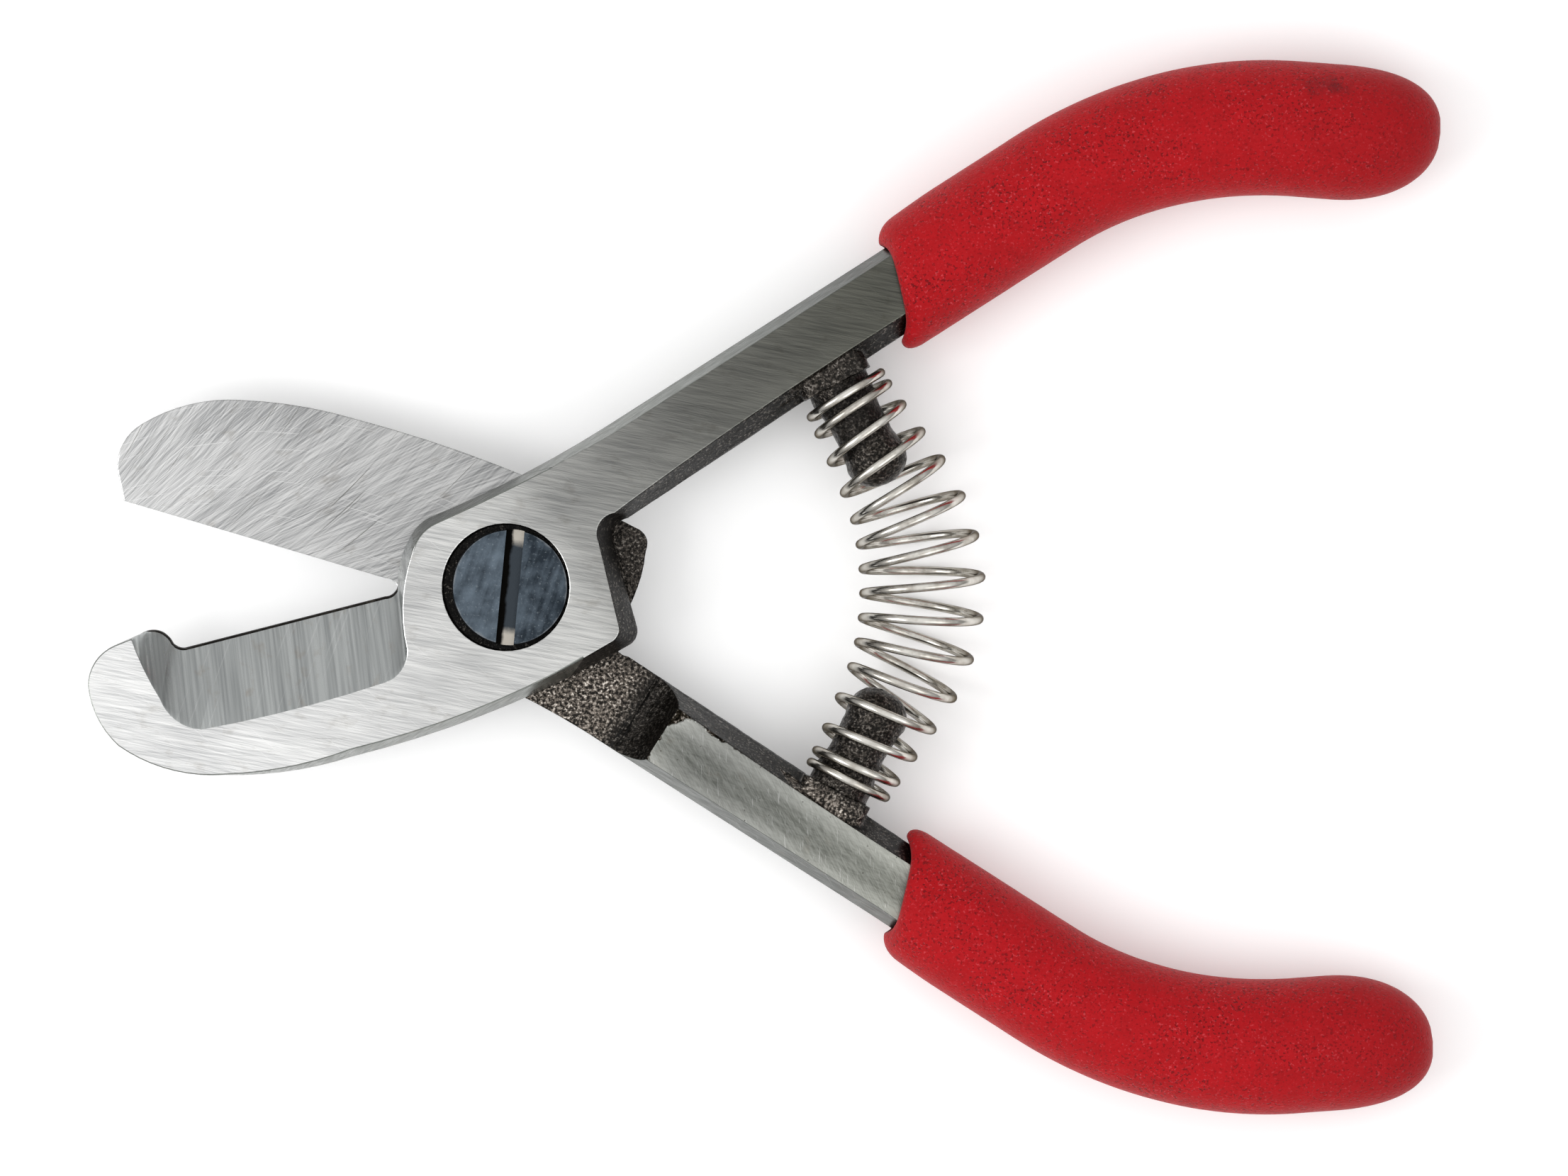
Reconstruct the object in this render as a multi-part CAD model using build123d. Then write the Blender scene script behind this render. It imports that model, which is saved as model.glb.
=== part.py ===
"""Single-pivot hand snips: a hook jaw and a bypass blade on two drop-forged levers.

Frame: the pivot axis is the Z axis and the snips lie flat on the plane z = 0, slotted screw head up.
The jaws point to -X and the sleeved handles to +X. Lengths are millimetres, angles are degrees.

Each lever is drawn in its own frame: its sliding face is z = 0, its own half lies above that face,
its jaw is below the X axis and its handle above it. The hook lever keeps that attitude. The blade
lever is turned half a turn about X, which brings the two sliding faces together.
"""

import math
import os

from build123d import *

# ---------------------------------------------------------------- driving dimensions

SLIDE_GAP = 0.1  # clearance between the two sliding faces
TABLE_GAP = 0.07  # the sleeves hang this far above the table, which only the nut touches

# forgings
HALF_THICKNESS = 6.0  # each lever's half at the pivot
HOOK_LAND = 1.2  # upright band above the sliding face before the flanks lean in
BLADE_LAND = 0.4

# handles, in a frame turned by HANDLE_ANGLE: u runs along the handle, v towards its outer side
HANDLE_ANGLE = 32.6
MOUTH_U = 64.0  # where the sleeve begins
HOOK_OUTER_V = 11.2
BLADE_OUTER_V = 10.9
HANDLE_INNER_V = 0.2
OUTER_LEAN = 1.9  # how far the flanks lean in by the ground face
INNER_LEAN = 2.9
TAPER_START = 19.0  # the handle faces slope down from here
TAPER_ANGLE = 1.7
STEP_FOOT = 22.4  # half-lap step on the far side: u of its foot and of its top edge
STEP_TOP = 27.5
STEP_SAG = 0.9  # hollow of the step

# sleeve path after the mouth
GRIP_STRAIGHT = 24.0
GRIP_BEND_RADIUS = 55.0
GRIP_BEND_ANGLE = 37.0
GRIP_TAIL = 19.1  # straight run from the bend to the end of the sleeve
GRIP_CENTRE_V = 6.1
GRIP_HALF_WIDTH_MOUTH = 8.0
GRIP_HALF_WIDTH_STRAIGHT = 8.4
GRIP_HALF_WIDTH = 9.05
GRIP_HALF_DEPTH_MOUTH = 7.4
GRIP_HALF_DEPTH = 8.38  # also sets how high the levers lie
GRIP_DOME = 13.0  # length over which the end closes
GRIP_MOUTH_SET = 0.3  # the slanted mouth crosses the middle of the sleeve this far before MOUTH_U
GRIP_MOUTH_SKEW = 20.0
GRIP_MOUTH_DROP = 0.4  # the mouth lies this far towards the inner side
GRIP_MOUTH_SWELL = 13.0  # length over which the mouth opens to the straight part
GRIP_SWELL = (20.0, 56.0)  # stretch over which the straight part widens to the full size
GRIP_NOSE_LIFT = 0.9  # the dome's tip lies this far towards the outer side
GRIP_SHORTER = 1.0  # the blade lever's sleeve ends this much sooner
GRIP_WALL = 2.2  # foam wall at the mouth
GRIP_MOUTH_DEPTH = 3.5
GRIP_MOUTH_ROUND = 1.7
TANG_WIDTH = 10.4
TANG_END_GAP = 12.0  # foam beyond the end of the tang

# spring posts
POST_U = 51.23  # where the post stands along the handle
POST_STAND = 0.56  # how far its root stands clear of the handle's inner side
POST_LEAN = 95.1  # angle between post and handle
POST_RADIUS = 4.3  # at its root and at its knob
POST_WAIST_RADIUS = 3.75
POST_WAIST_AT = 7.0
POST_HEAD_AT = 11.4  # widest ring of the knob
POST_HEAD_HEIGHT = 3.7  # knob beyond its widest ring
POST_HEAD_FLAT = 0.9
SEAT_WIDTH = 10.0
SEAT_HALF_DEPTH = 4.4
SEAT_PROUD = 0.3

# return spring
WIRE_DIAMETER = 1.2
SPRING_TURNS = 14.5
SPRING_END_GAP = 0.13  # air between the end coils
SPRING_PITCH_RAMP = 2.5  # turns over which the pitch opens
SPRING_ON_POST = 0.6  # clearance between the end coils and the post
SPRING_MID_RADIUS = 7.86  # to the middle of the wire
SPRING_SETTLE = 0.3  # the lower end sits this far outwards on its post
SPRING_SEAT = 1.7  # middle of the first coil, along the post from its root
SPRING_SEAT_SHIFT = 0.35  # and across it
SPRING_TURN_OUT = 1.5  # the end coils stand almost square to the posts
SPRING_STRAIGHT = 13.5  # the axis runs straight this far, then bends
SPRING_POINTS_PER_TURN = 16

# pivot hardware
SHOULDER_RADIUS = 4.5
RUNNING_CLEARANCE = 0.04
THREAD_RADIUS = 4.0
HEAD_RADIUS = 7.7
HEAD_THICKNESS = 1.9
HEAD_RECESS = 1.2
HEAD_CLEARANCE = 0.75
HEAD_EDGE = 0.15
WELL_OFFSET = -0.55  # the head's recess is milled a little off the pivot axis, towards the jaws
SLOT_WIDTH = 2.4
SLOT_DEPTH = 1.3
SLOT_ANGLE = 84.5
DISC_THICKNESS = 0.45
DISC_RISE = 0.35
DISC_INSET = 0.6  # the disc under the head is this much smaller in radius
SEAT_CLEARANCE = 0.05
NUT_ACROSS_FLATS = 13.0
NUT_CHAMFER = 0.5
WASHER_RADIUS = 8.0
WASHER_THICKNESS = 0.8
SPOTFACE_DEPTH = 2.0
SPOTFACE_CLEARANCE = 0.4

# jaws
BLADE_HEEL = 1.3  # the blade lever stands out this much further behind the pivot
BLADE_HEEL_BOW = 0.8  # and its heel bulges
BLADE_TAPER_START = 20.0
BLADE_TAPER_ANGLE = 3.0

# ---------------------------------------------------------------- sizes that follow

MID_HEIGHT = GRIP_HALF_DEPTH + SLIDE_GAP / 2 + TABLE_GAP  # the plane between the levers
FRONT = MID_HEIGHT + SLIDE_GAP / 2 + HALF_THICKNESS
BACK = MID_HEIGHT - SLIDE_GAP / 2 - HALF_THICKNESS
HEAD_TOP = FRONT - HEAD_RECESS
HEAD_UNDERSIDE = HEAD_TOP - HEAD_THICKNESS
DISC_RADIUS = HEAD_RADIUS - DISC_INSET
WASHER_TOP = BACK + SPOTFACE_DEPTH - SEAT_CLEARANCE
NUT_TOP = WASHER_TOP - WASHER_THICKNESS
GRIP_MOUTH_U = MOUTH_U - GRIP_MOUTH_SET
POST_ANGLE = HANDLE_ANGLE - POST_LEAN
SPRING_ANGLE = POST_ANGLE + SPRING_TURN_OUT
SPRING_END_RADIUS = POST_RADIUS + SPRING_ON_POST + WIRE_DIAMETER / 2

# ---------------------------------------------------------------- helpers


def handle_point(u, v):
    """A point given along and across the handle, in the lever's frame."""
    a = math.radians(HANDLE_ANGLE)
    return (u * math.cos(a) - v * math.sin(a), u * math.sin(a) + v * math.cos(a))


def bend_point(offset, angle):
    """A point on the sleeve's bend, offset outwards from its centre line."""
    a = math.radians(angle)
    radius = GRIP_BEND_RADIUS + offset
    u = MOUTH_U + GRIP_STRAIGHT + radius * math.sin(a)
    v = GRIP_CENTRE_V - GRIP_BEND_RADIUS + radius * math.cos(a)
    return handle_point(u, v)


def tail_point(offset, along):
    """A point beside the straight run after the bend."""
    x, y = bend_point(offset, GRIP_BEND_ANGLE)
    a = math.radians(HANDLE_ANGLE - GRIP_BEND_ANGLE)
    return (x + along * math.cos(a), y + along * math.sin(a))


def bowed(start, end, bow):
    """A line that bulges to its left by a distance, or a straight one."""
    if bow == 0:
        return Line(start, end)
    run = (end[0] - start[0], end[1] - start[1])
    length = math.hypot(*run)
    middle = (
        (start[0] + end[0]) / 2 - run[1] / length * bow,
        (start[1] + end[1]) / 2 + run[0] / length * bow,
    )
    return ThreePointArc(start, middle, end)


def post_point(along, across):
    """A point given along and across the spring post, from its root."""
    x, y = handle_point(POST_U, HANDLE_INNER_V - POST_STAND)
    a = math.radians(POST_ANGLE)
    return (
        x + along * math.cos(a) - across * math.sin(a),
        y + along * math.sin(a) + across * math.cos(a),
    )


def tang_edges(lean_out, lean_in, outer_v, inner_v):
    """The handle's outline inside the sleeve, from its outer edge at the mouth round to its inner edge."""
    out, inn = TANG_WIDTH / 2 - lean_out, -(TANG_WIDTH / 2 - lean_in)
    end = GRIP_TAIL - TANG_END_GAP
    mid = (out + inn) / 2
    tip = (out - inn) / 2
    return [
        Line(handle_point(MOUTH_U, outer_v), bend_point(out, 0)),
        ThreePointArc(bend_point(out, 0), bend_point(out, GRIP_BEND_ANGLE / 2), bend_point(out, GRIP_BEND_ANGLE)),
        Line(tail_point(out, 0), tail_point(out, end)),
        ThreePointArc(tail_point(out, end), tail_point(mid, end + tip), tail_point(inn, end)),
        Line(tail_point(inn, end), tail_point(inn, 0)),
        ThreePointArc(bend_point(inn, GRIP_BEND_ANGLE), bend_point(inn, GRIP_BEND_ANGLE / 2), bend_point(inn, 0)),
        Line(bend_point(inn, 0), handle_point(MOUTH_U, inner_v)),
    ]


def boss_left_girth(outer_v):
    """Left flank of the boss and outer side of the handle at the sliding face."""
    hip = outer_v + 1.2
    return [
        ThreePointArc((-16.75, -1.2), (-15.6, -0.75), (-15.05, 0.5)),
        ThreePointArc((-15.05, 0.5), (-14.6, 3.8), (-13.2, 7.0)),
        ThreePointArc((-13.2, 7.0), (-12.2, 8.3), (-10.8, 9.3)),
        ThreePointArc((-10.8, 9.3), handle_point(4, hip), handle_point(STEP_FOOT, outer_v)),
        Line(handle_point(STEP_FOOT, outer_v), handle_point(MOUTH_U, outer_v)),
    ]


def boss_left_face(outer_v):
    """The same run at the ground face, leaning in."""
    face_v = outer_v - OUTER_LEAN
    hip = outer_v + 0.2
    return [
        ThreePointArc((-16.9, -12.75), (-14.5, -11.2), (-13.65, -8.3)),
        ThreePointArc((-13.65, -8.3), (-14.05, 0.0), (-12.4, 6.0)),
        ThreePointArc((-12.4, 6.0), (-11.4, 7.4), (-9.8, 8.5)),
        ThreePointArc((-9.8, 8.5), handle_point(4, hip), handle_point(STEP_FOOT, face_v + 0.5)),
        Line(handle_point(STEP_FOOT, face_v + 0.5), handle_point(MOUTH_U, face_v)),
    ]


def boss_right_girth(heel, bow):
    """Inner side of the handle, heel of the boss and the run to the jaw at the sliding face."""
    return [
        Line(handle_point(MOUTH_U, HANDLE_INNER_V), (15.6, 9.2)),
        ThreePointArc((15.6, 9.2), (13.85, 8.0), (13.7, 5.9)),
        bowed((13.7, 5.9), (16.7 + heel, -4.9), bow),
        ThreePointArc((16.7 + heel, -4.9), (16.75 + heel, -6.6), (15.7 + heel, -7.75)),
        ThreePointArc((15.7 + heel, -7.75), (-2.5, -16.55), (-21.0, -22.5)),
    ]


def boss_right_face(heel, bow):
    """The same run at the ground face."""
    return [
        ThreePointArc(handle_point(MOUTH_U, HANDLE_INNER_V + INNER_LEAN), handle_point(33, 1.95), (13.9, 9.85)),
        ThreePointArc((13.9, 9.85), (11.9, 8.5), (11.75, 6.0)),
        bowed((11.75, 6.0), (14.35 + heel, -4.8), bow),
        ThreePointArc((14.35 + heel, -4.8), (14.35 + heel, -6.3), (13.4 + heel, -7.3)),
        ThreePointArc((13.4 + heel, -7.3), (-3.0, -15.6), (-21.0, -21.5)),
    ]


def hook_jaw_girth():
    """Outer side, rounded tip, lip and cutting edge of the hook jaw at the sliding face."""
    return [
        ThreePointArc((-21.0, -22.5), (-30.0, -24.55), (-38.0, -25.0)),
        ThreePointArc((-38.0, -25.0), (-46.0, -24.1), (-52.0, -21.15)),
        ThreePointArc((-52.0, -21.15), (-54.9, -17.3), (-56.1, -13.0)),
        ThreePointArc((-56.1, -13.0), (-55.3, -10.0), (-52.6, -7.65)),
        Line((-52.6, -7.65), (-49.3, -6.2)),
        ThreePointArc((-49.3, -6.2), (-47.0, -5.7), (-45.2, -6.9)),
        ThreePointArc((-45.2, -6.9), (-44.5, -7.75), (-43.3, -8.0)),
        Line((-43.3, -8.0), (-16.75, -1.2)),
    ]


def hook_jaw_face():
    """The same run at the ground face, where the long bevel inside the hook begins."""
    return [
        ThreePointArc((-21.0, -21.5), (-30.0, -24.0), (-38.0, -24.85)),
        ThreePointArc((-38.0, -24.85), (-46.0, -23.95), (-51.9, -21.05)),
        ThreePointArc((-51.9, -21.05), (-54.75, -17.25), (-55.95, -13.0)),
        ThreePointArc((-55.95, -13.0), (-55.15, -10.1), (-52.55, -7.8)),
        Line((-52.55, -7.8), (-50.2, -6.85)),
        ThreePointArc((-50.2, -6.85), (-48.6, -10.8), (-46.4, -14.8)),
        ThreePointArc((-46.4, -14.8), (-44.2, -17.7), (-41.0, -18.9)),
        ThreePointArc((-41.0, -18.9), (-29.0, -16.3), (-16.9, -12.75)),
    ]


def blade_jaw_girth():
    """Back, nose and straight cutting edge of the blade at the sliding face."""
    return [
        ThreePointArc((-21.0, -22.5), (-28.5, -24.2), (-36.0, -24.95)),
        ThreePointArc((-36.0, -24.95), (-43.5, -24.2), (-49.2, -21.75)),
        ThreePointArc((-49.2, -21.75), (-51.7, -19.2), (-52.5, -15.8)),
        Line((-52.5, -15.8), (-51.6, -11.5)),
        Line((-51.6, -11.5), (-16.75, -1.2)),
    ]


def blade_jaw_face():
    """The same run at the far face, above the bevel that thins the blade to its edge."""
    return [
        ThreePointArc((-21.0, -21.5), (-28.5, -23.35), (-36.0, -24.1)),
        ThreePointArc((-36.0, -24.1), (-43.0, -23.4), (-48.2, -21.2)),
        ThreePointArc((-48.2, -21.2), (-50.1, -19.5), (-50.9, -17.8)),
        Line((-50.9, -17.8), (-50.0, -16.9)),
        ThreePointArc((-50.0, -16.9), (-33.5, -15.8), (-16.9, -12.75)),
    ]


# ---------------------------------------------------------------- levers


def closed_face(edges):
    return make_face(Wire(edges))


def slab(x0, x1, y0, y1, z0, z1):
    return Pos((x0 + x1) / 2, (y0 + y1) / 2, (z0 + z1) / 2) * Box(x1 - x0, y1 - y0, z1 - z0)


def forged_half(jaw_girth, jaw_face, land, outer_v, heel, bow):
    """Boss, jaw and handle on one side of the sliding face, widest at that face."""
    girth = (
        jaw_girth
        + boss_left_girth(outer_v)
        + tang_edges(0.0, 0.0, outer_v, HANDLE_INNER_V)
        + boss_right_girth(heel, bow)
    )
    face = (
        jaw_face
        + boss_left_face(outer_v)
        + tang_edges(OUTER_LEAN, INNER_LEAN, outer_v - OUTER_LEAN, HANDLE_INNER_V + INNER_LEAN)
        + boss_right_face(heel, bow)
    )
    low = closed_face(girth)
    high = closed_face(face)
    upright = extrude(low, land, dir=(0, 0, 1))
    leaning = loft([Pos(0, 0, land) * low, Pos(0, 0, HALF_THICKNESS) * high], ruled=True)
    return upright + leaning


def handle_taper():
    """What the sloping ground face takes off the handle."""
    run = 140.0
    drop = run * math.tan(math.radians(TAPER_ANGLE))
    wedge = Polyline(
        (TAPER_START, HALF_THICKNESS),
        (TAPER_START + run, HALF_THICKNESS - drop),
        (TAPER_START + run, HALF_THICKNESS + 5),
        (TAPER_START, HALF_THICKNESS + 5),
        close=True,
    )
    block = extrude(Plane.XZ * make_face(wedge), 45, both=True)
    return Rot(0, 0, HANDLE_ANGLE) * block


def far_side_room():
    """The room that the handle may fill beyond the sliding face, starting with the half-lap step."""
    deep = HALF_THICKNESS + 5
    foot = (STEP_FOOT, 0.0)
    top = (STEP_TOP, -HALF_THICKNESS)
    sag = ((STEP_FOOT + STEP_TOP) / 2 + STEP_SAG, -HALF_THICKNESS / 2 + STEP_SAG)
    outline = [
        ThreePointArc(foot, sag, top),
        Line(top, (STEP_TOP, -deep)),
        Line((STEP_TOP, -deep), (170, -deep)),
        Line((170, -deep), (170, 0)),
        Line((170, 0), foot),
    ]
    block = extrude(Plane.XZ * make_face(Wire(outline)), 45, both=True)
    return Rot(0, 0, HANDLE_ANGLE) * block


def spring_post():
    """Forged peg with a root block, a waist and a knob, in the middle plane of the handle."""
    profile = [
        Line((0, 0), (POST_RADIUS, 0)),
        Line((POST_RADIUS, 0), (POST_RADIUS, 2.2)),
        ThreePointArc(
            (POST_RADIUS, 2.2),
            (POST_WAIST_RADIUS, POST_WAIST_AT),
            (POST_RADIUS, POST_HEAD_AT),
        ),
        ThreePointArc(
            (POST_RADIUS, POST_HEAD_AT),
            (POST_RADIUS * 0.74, POST_HEAD_AT + POST_HEAD_HEIGHT * 0.7),
            (POST_HEAD_FLAT, POST_HEAD_AT + POST_HEAD_HEIGHT),
        ),
        Line((POST_HEAD_FLAT, POST_HEAD_AT + POST_HEAD_HEIGHT), (0, POST_HEAD_AT + POST_HEAD_HEIGHT)),
        Line((0, POST_HEAD_AT + POST_HEAD_HEIGHT), (0, 0)),
    ]
    peg = revolve(make_face(Wire(profile)), Axis.Y)
    block = Pos(0, -2.0, 0) * Box(SEAT_WIDTH, 4.0 + 2 * SEAT_PROUD, 2 * SEAT_HALF_DEPTH)
    block = fillet(block.edges().filter_by(Axis.Y), 1.6)
    return Pos(*post_point(0, 0)) * Rot(0, 0, POST_ANGLE - 90) * (peg + block)


def forging(jaw_girth, jaw_face, land, outer_v, heel, bow):
    """A whole lever without its pivot holes."""
    half = forged_half(jaw_girth, jaw_face, land, outer_v, heel, bow) - handle_taper()
    far = mirror(half, Plane.XY) & far_side_room()
    return half + far + spring_post()


def hook_lever():
    body = forging(hook_jaw_girth(), hook_jaw_face(), HOOK_LAND, HOOK_OUTER_V, 0.0, 0.0)
    bore = Cylinder(SHOULDER_RADIUS + RUNNING_CLEARANCE, 30)
    depth = HEAD_RECESS + HEAD_THICKNESS + DISC_THICKNESS + DISC_RISE
    floor = HALF_THICKNESS - depth
    well = Pos(WELL_OFFSET, 0, floor + 10) * Cylinder(HEAD_RADIUS + HEAD_CLEARANCE, 20)
    return body - bore - well


def blade_lever():
    outlines = (blade_jaw_girth(), blade_jaw_face())
    body = forging(*outlines, BLADE_LAND, BLADE_OUTER_V, BLADE_HEEL, BLADE_HEEL_BOW)
    slope = math.radians(BLADE_TAPER_ANGLE)
    run = 50.0
    wedge = Polyline(
        (-BLADE_TAPER_START, HALF_THICKNESS),
        (-BLADE_TAPER_START - run, HALF_THICKNESS - run * math.tan(slope)),
        (-BLADE_TAPER_START - run, HALF_THICKNESS + 5),
        (-BLADE_TAPER_START, HALF_THICKNESS + 5),
        close=True,
    )
    body -= extrude(Plane.XZ * make_face(wedge), 45, both=True)
    bore = Cylinder(SHOULDER_RADIUS + RUNNING_CLEARANCE, 30)
    floor = HALF_THICKNESS - SPOTFACE_DEPTH
    spotface = Pos(0, 0, floor + 10) * Cylinder(WASHER_RADIUS + SPOTFACE_CLEARANCE, 20)
    return body - bore - spotface


# ---------------------------------------------------------------- sleeves


def smooth(share):
    share = min(max(share, 0.0), 1.0)
    return share * share * (3 - 2 * share)


def sleeve_section(s, tail, shrink):
    """Middle, heading and half sizes of the sleeve at a distance s past the mouth."""
    straight = GRIP_STRAIGHT + MOUTH_U - GRIP_MOUTH_U
    bend = math.radians(GRIP_BEND_ANGLE) * GRIP_BEND_RADIUS
    pinch = min(max(0.0, 1 - s / GRIP_MOUTH_SWELL) ** 2, 1.5)
    into_dome = max(0.0, s - (straight + bend + tail - GRIP_DOME)) / GRIP_DOME
    closing = (1 - into_dome**2.3) ** (1 / 2.3)
    lift = GRIP_NOSE_LIFT * into_dome**2
    if s < straight:
        point = handle_point(GRIP_MOUTH_U + s, GRIP_CENTRE_V - GRIP_MOUTH_DROP * pinch)
        heading = HANDLE_ANGLE
    elif s < straight + bend:
        turned = math.degrees((s - straight) / GRIP_BEND_RADIUS)
        point = bend_point(0, turned)
        heading = HANDLE_ANGLE - turned
    else:
        point = tail_point(lift, s - straight - bend)
        heading = HANDLE_ANGLE - GRIP_BEND_ANGLE
    swell = smooth((s - GRIP_SWELL[0]) / (GRIP_SWELL[1] - GRIP_SWELL[0]))
    width = GRIP_HALF_WIDTH_STRAIGHT + (GRIP_HALF_WIDTH - GRIP_HALF_WIDTH_STRAIGHT) * swell
    width -= (GRIP_HALF_WIDTH_STRAIGHT - GRIP_HALF_WIDTH_MOUTH) * pinch
    depth = GRIP_HALF_DEPTH - (GRIP_HALF_DEPTH - GRIP_HALF_DEPTH_MOUTH) * pinch
    return point, heading, width * closing - shrink, depth * closing - shrink


def sleeve_form(shrink, tail, stations):
    """Solid swept through oval sections, before the mouth is cut."""
    faces = []
    for s in stations:
        (x, y), heading, width, depth = sleeve_section(s, tail, shrink)
        h = math.radians(heading)
        across = (-math.sin(h), math.cos(h), 0)
        along = (math.cos(h), math.sin(h), 0)
        plane = Plane(origin=(x, y, 0), x_dir=across, z_dir=along)
        faces.append(plane * make_face(Ellipse(width, depth)))
    return loft(faces)


def beyond_mouth(depth):
    """Everything past the slanted mouth plane, set back by a depth."""
    x, y = handle_point(GRIP_MOUTH_U + depth, GRIP_CENTRE_V)
    block = Pos(100, 0, 0) * Box(200, 200, 100)
    return Pos(x, y, 0) * Rot(0, 0, HANDLE_ANGLE - GRIP_MOUTH_SKEW) * block


def sleeve(lever_body, tail):
    """Foam sleeve in the lever's frame, open at the mouth and closed by a dome."""
    straight = GRIP_STRAIGHT + MOUTH_U - GRIP_MOUTH_U
    length = straight + math.radians(GRIP_BEND_ANGLE) * GRIP_BEND_RADIUS + tail
    closing = [length - GRIP_DOME * (1 - math.sin(math.radians(a))) for a in (12, 30, 48, 66, 80, 87)]
    stations = [-5.0, 0.0, 6.0, 13.0, 22.0, 34.0, 46.0, 57.0] + closing
    outer = sleeve_form(0.0, tail, stations) & beyond_mouth(0.0)
    mouth_normal = Axis((0, 0, 0), (math.cos(0.57), math.sin(0.57), 0))
    rim = outer.faces().sort_by(mouth_normal)[0]
    outer = fillet(rim.edges(), GRIP_MOUTH_ROUND)
    recess = sleeve_form(GRIP_WALL, tail, stations[:5]) - beyond_mouth(GRIP_MOUTH_DEPTH)
    return Pos(0, 0, -SLIDE_GAP / 2) * (outer - recess) - lever_body


# ---------------------------------------------------------------- return spring


def spring_axis(s, straight, radius, bend):
    """Point and heading on the spring's bowed centre line, s from its first coil."""
    half = straight + radius * bend
    far = s > half
    along = 2 * half - s if far else s
    a = math.radians(SPRING_ANGLE)
    x, y = post_point(SPRING_SEAT, SPRING_SEAT_SHIFT)
    x += min(along, straight) * math.cos(a)
    y += min(along, straight) * math.sin(a)
    turned = max(0.0, along - straight) / radius
    heading = a - turned
    x -= radius * (math.sin(heading) - math.sin(a))
    y += radius * (math.cos(heading) - math.cos(a))
    if far:
        return x, -y, -math.pi - heading
    return x, y, heading


def return_spring():
    """Barrel-shaped coil spring: close end coils on the posts, open coils between, on a bowed axis."""
    a = math.radians(SPRING_ANGLE)
    straight = SPRING_STRAIGHT
    bend = math.pi / 2 + a
    radius = (post_point(SPRING_SEAT, SPRING_SEAT_SHIFT)[1] + straight * math.sin(a)) / math.cos(a)
    length = 2 * (straight + radius * bend)
    count = round(SPRING_TURNS * SPRING_POINTS_PER_TURN)
    turns = [(i + 0.5) / SPRING_POINTS_PER_TURN for i in range(count)]
    opening = [smooth(min(turn, SPRING_TURNS - turn) / SPRING_PITCH_RAMP) for turn in turns]
    end_pitch = WIRE_DIAMETER + SPRING_END_GAP
    extra_pitch = (length - end_pitch * SPRING_TURNS) * SPRING_POINTS_PER_TURN / sum(opening)
    reached = [0.0]
    for share in opening:
        reached.append(reached[-1] + (end_pitch + extra_pitch * share) / SPRING_POINTS_PER_TURN)
    points = []
    for i in range(count + 1):
        s = reached[i]
        x, y, heading = spring_axis(s, straight, radius, bend)
        swell = math.sin(math.pi * i / count) ** 2
        coil = SPRING_END_RADIUS + (SPRING_MID_RADIUS - SPRING_END_RADIUS) * swell
        x += SPRING_SETTLE * s / length
        phase = 2 * math.pi * i / SPRING_POINTS_PER_TURN
        side = coil * math.cos(phase)
        points.append((x - side * math.sin(heading), y + side * math.cos(heading), coil * math.sin(phase)))
    path = Edge.make_spline([Vector(*p) for p in points])
    start = Plane(origin=path @ 0, z_dir=path % 0)
    wire = sweep(start * Circle(WIRE_DIAMETER / 2), path=path, is_frenet=True)
    return Pos(0, 0, MID_HEIGHT) * wire


# ---------------------------------------------------------------- pivot hardware


def pivot_screw():
    head = Pos(0, 0, HEAD_TOP - HEAD_THICKNESS / 2) * Cylinder(HEAD_RADIUS, HEAD_THICKNESS)
    head = chamfer(head.edges().group_by(Axis.Z)[-1], HEAD_EDGE)
    slot = Rot(0, 0, SLOT_ANGLE) * slab(-20, 20, -SLOT_WIDTH / 2, SLOT_WIDTH / 2, HEAD_TOP - SLOT_DEPTH, 30)
    shoulder_length = HEAD_UNDERSIDE - NUT_TOP
    shoulder = Pos(0, 0, NUT_TOP + shoulder_length / 2) * Cylinder(SHOULDER_RADIUS, shoulder_length)
    end = Pos(0, 0, NUT_TOP / 2) * Cylinder(THREAD_RADIUS, NUT_TOP)
    end = chamfer(end.edges().group_by(Axis.Z)[0], 0.5)
    return head - slot + shoulder + end


def head_disc():
    """Dished washer: its inner rim lies on the counterbore floor, its outer rim lifts the head."""
    floor = FRONT - HEAD_RECESS - HEAD_THICKNESS - DISC_THICKNESS - DISC_RISE
    inner = SHOULDER_RADIUS + 0.2
    outline = Polyline(
        (inner, floor),
        (DISC_RADIUS, floor + DISC_RISE),
        (DISC_RADIUS, floor + DISC_RISE + DISC_THICKNESS),
        (inner, floor + DISC_THICKNESS),
        close=True,
    )
    return revolve(Plane.XZ * make_face(outline), Axis.Z)


def back_washer():
    ring = Cylinder(WASHER_RADIUS, WASHER_THICKNESS) - Cylinder(SHOULDER_RADIUS + RUNNING_CLEARANCE, 5)
    ring = chamfer(ring.edges().group_by(Axis.Z)[0].sort_by(SortBy.LENGTH)[-1:], 0.2)
    return Pos(0, 0, NUT_TOP + WASHER_THICKNESS / 2) * ring


def lock_nut():
    across = NUT_ACROSS_FLATS / math.cos(math.radians(30))
    hexagon = extrude(RegularPolygon(across / 2, 6), NUT_TOP)
    cone = Pos(0, 0, NUT_TOP / 2) * Cylinder(across / 2, NUT_TOP)
    cone = chamfer(cone.edges().group_by(Axis.Z)[0], NUT_CHAMFER)
    return (hexagon & cone) - Cylinder(THREAD_RADIUS, 40)


# ---------------------------------------------------------------- assembly

hook_own = hook_lever()
blade_own = blade_lever()
raise_hook = Pos(0, 0, MID_HEIGHT + SLIDE_GAP / 2)
drop_blade = Pos(0, 0, MID_HEIGHT - SLIDE_GAP / 2) * Rot(180, 0, 0)

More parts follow.
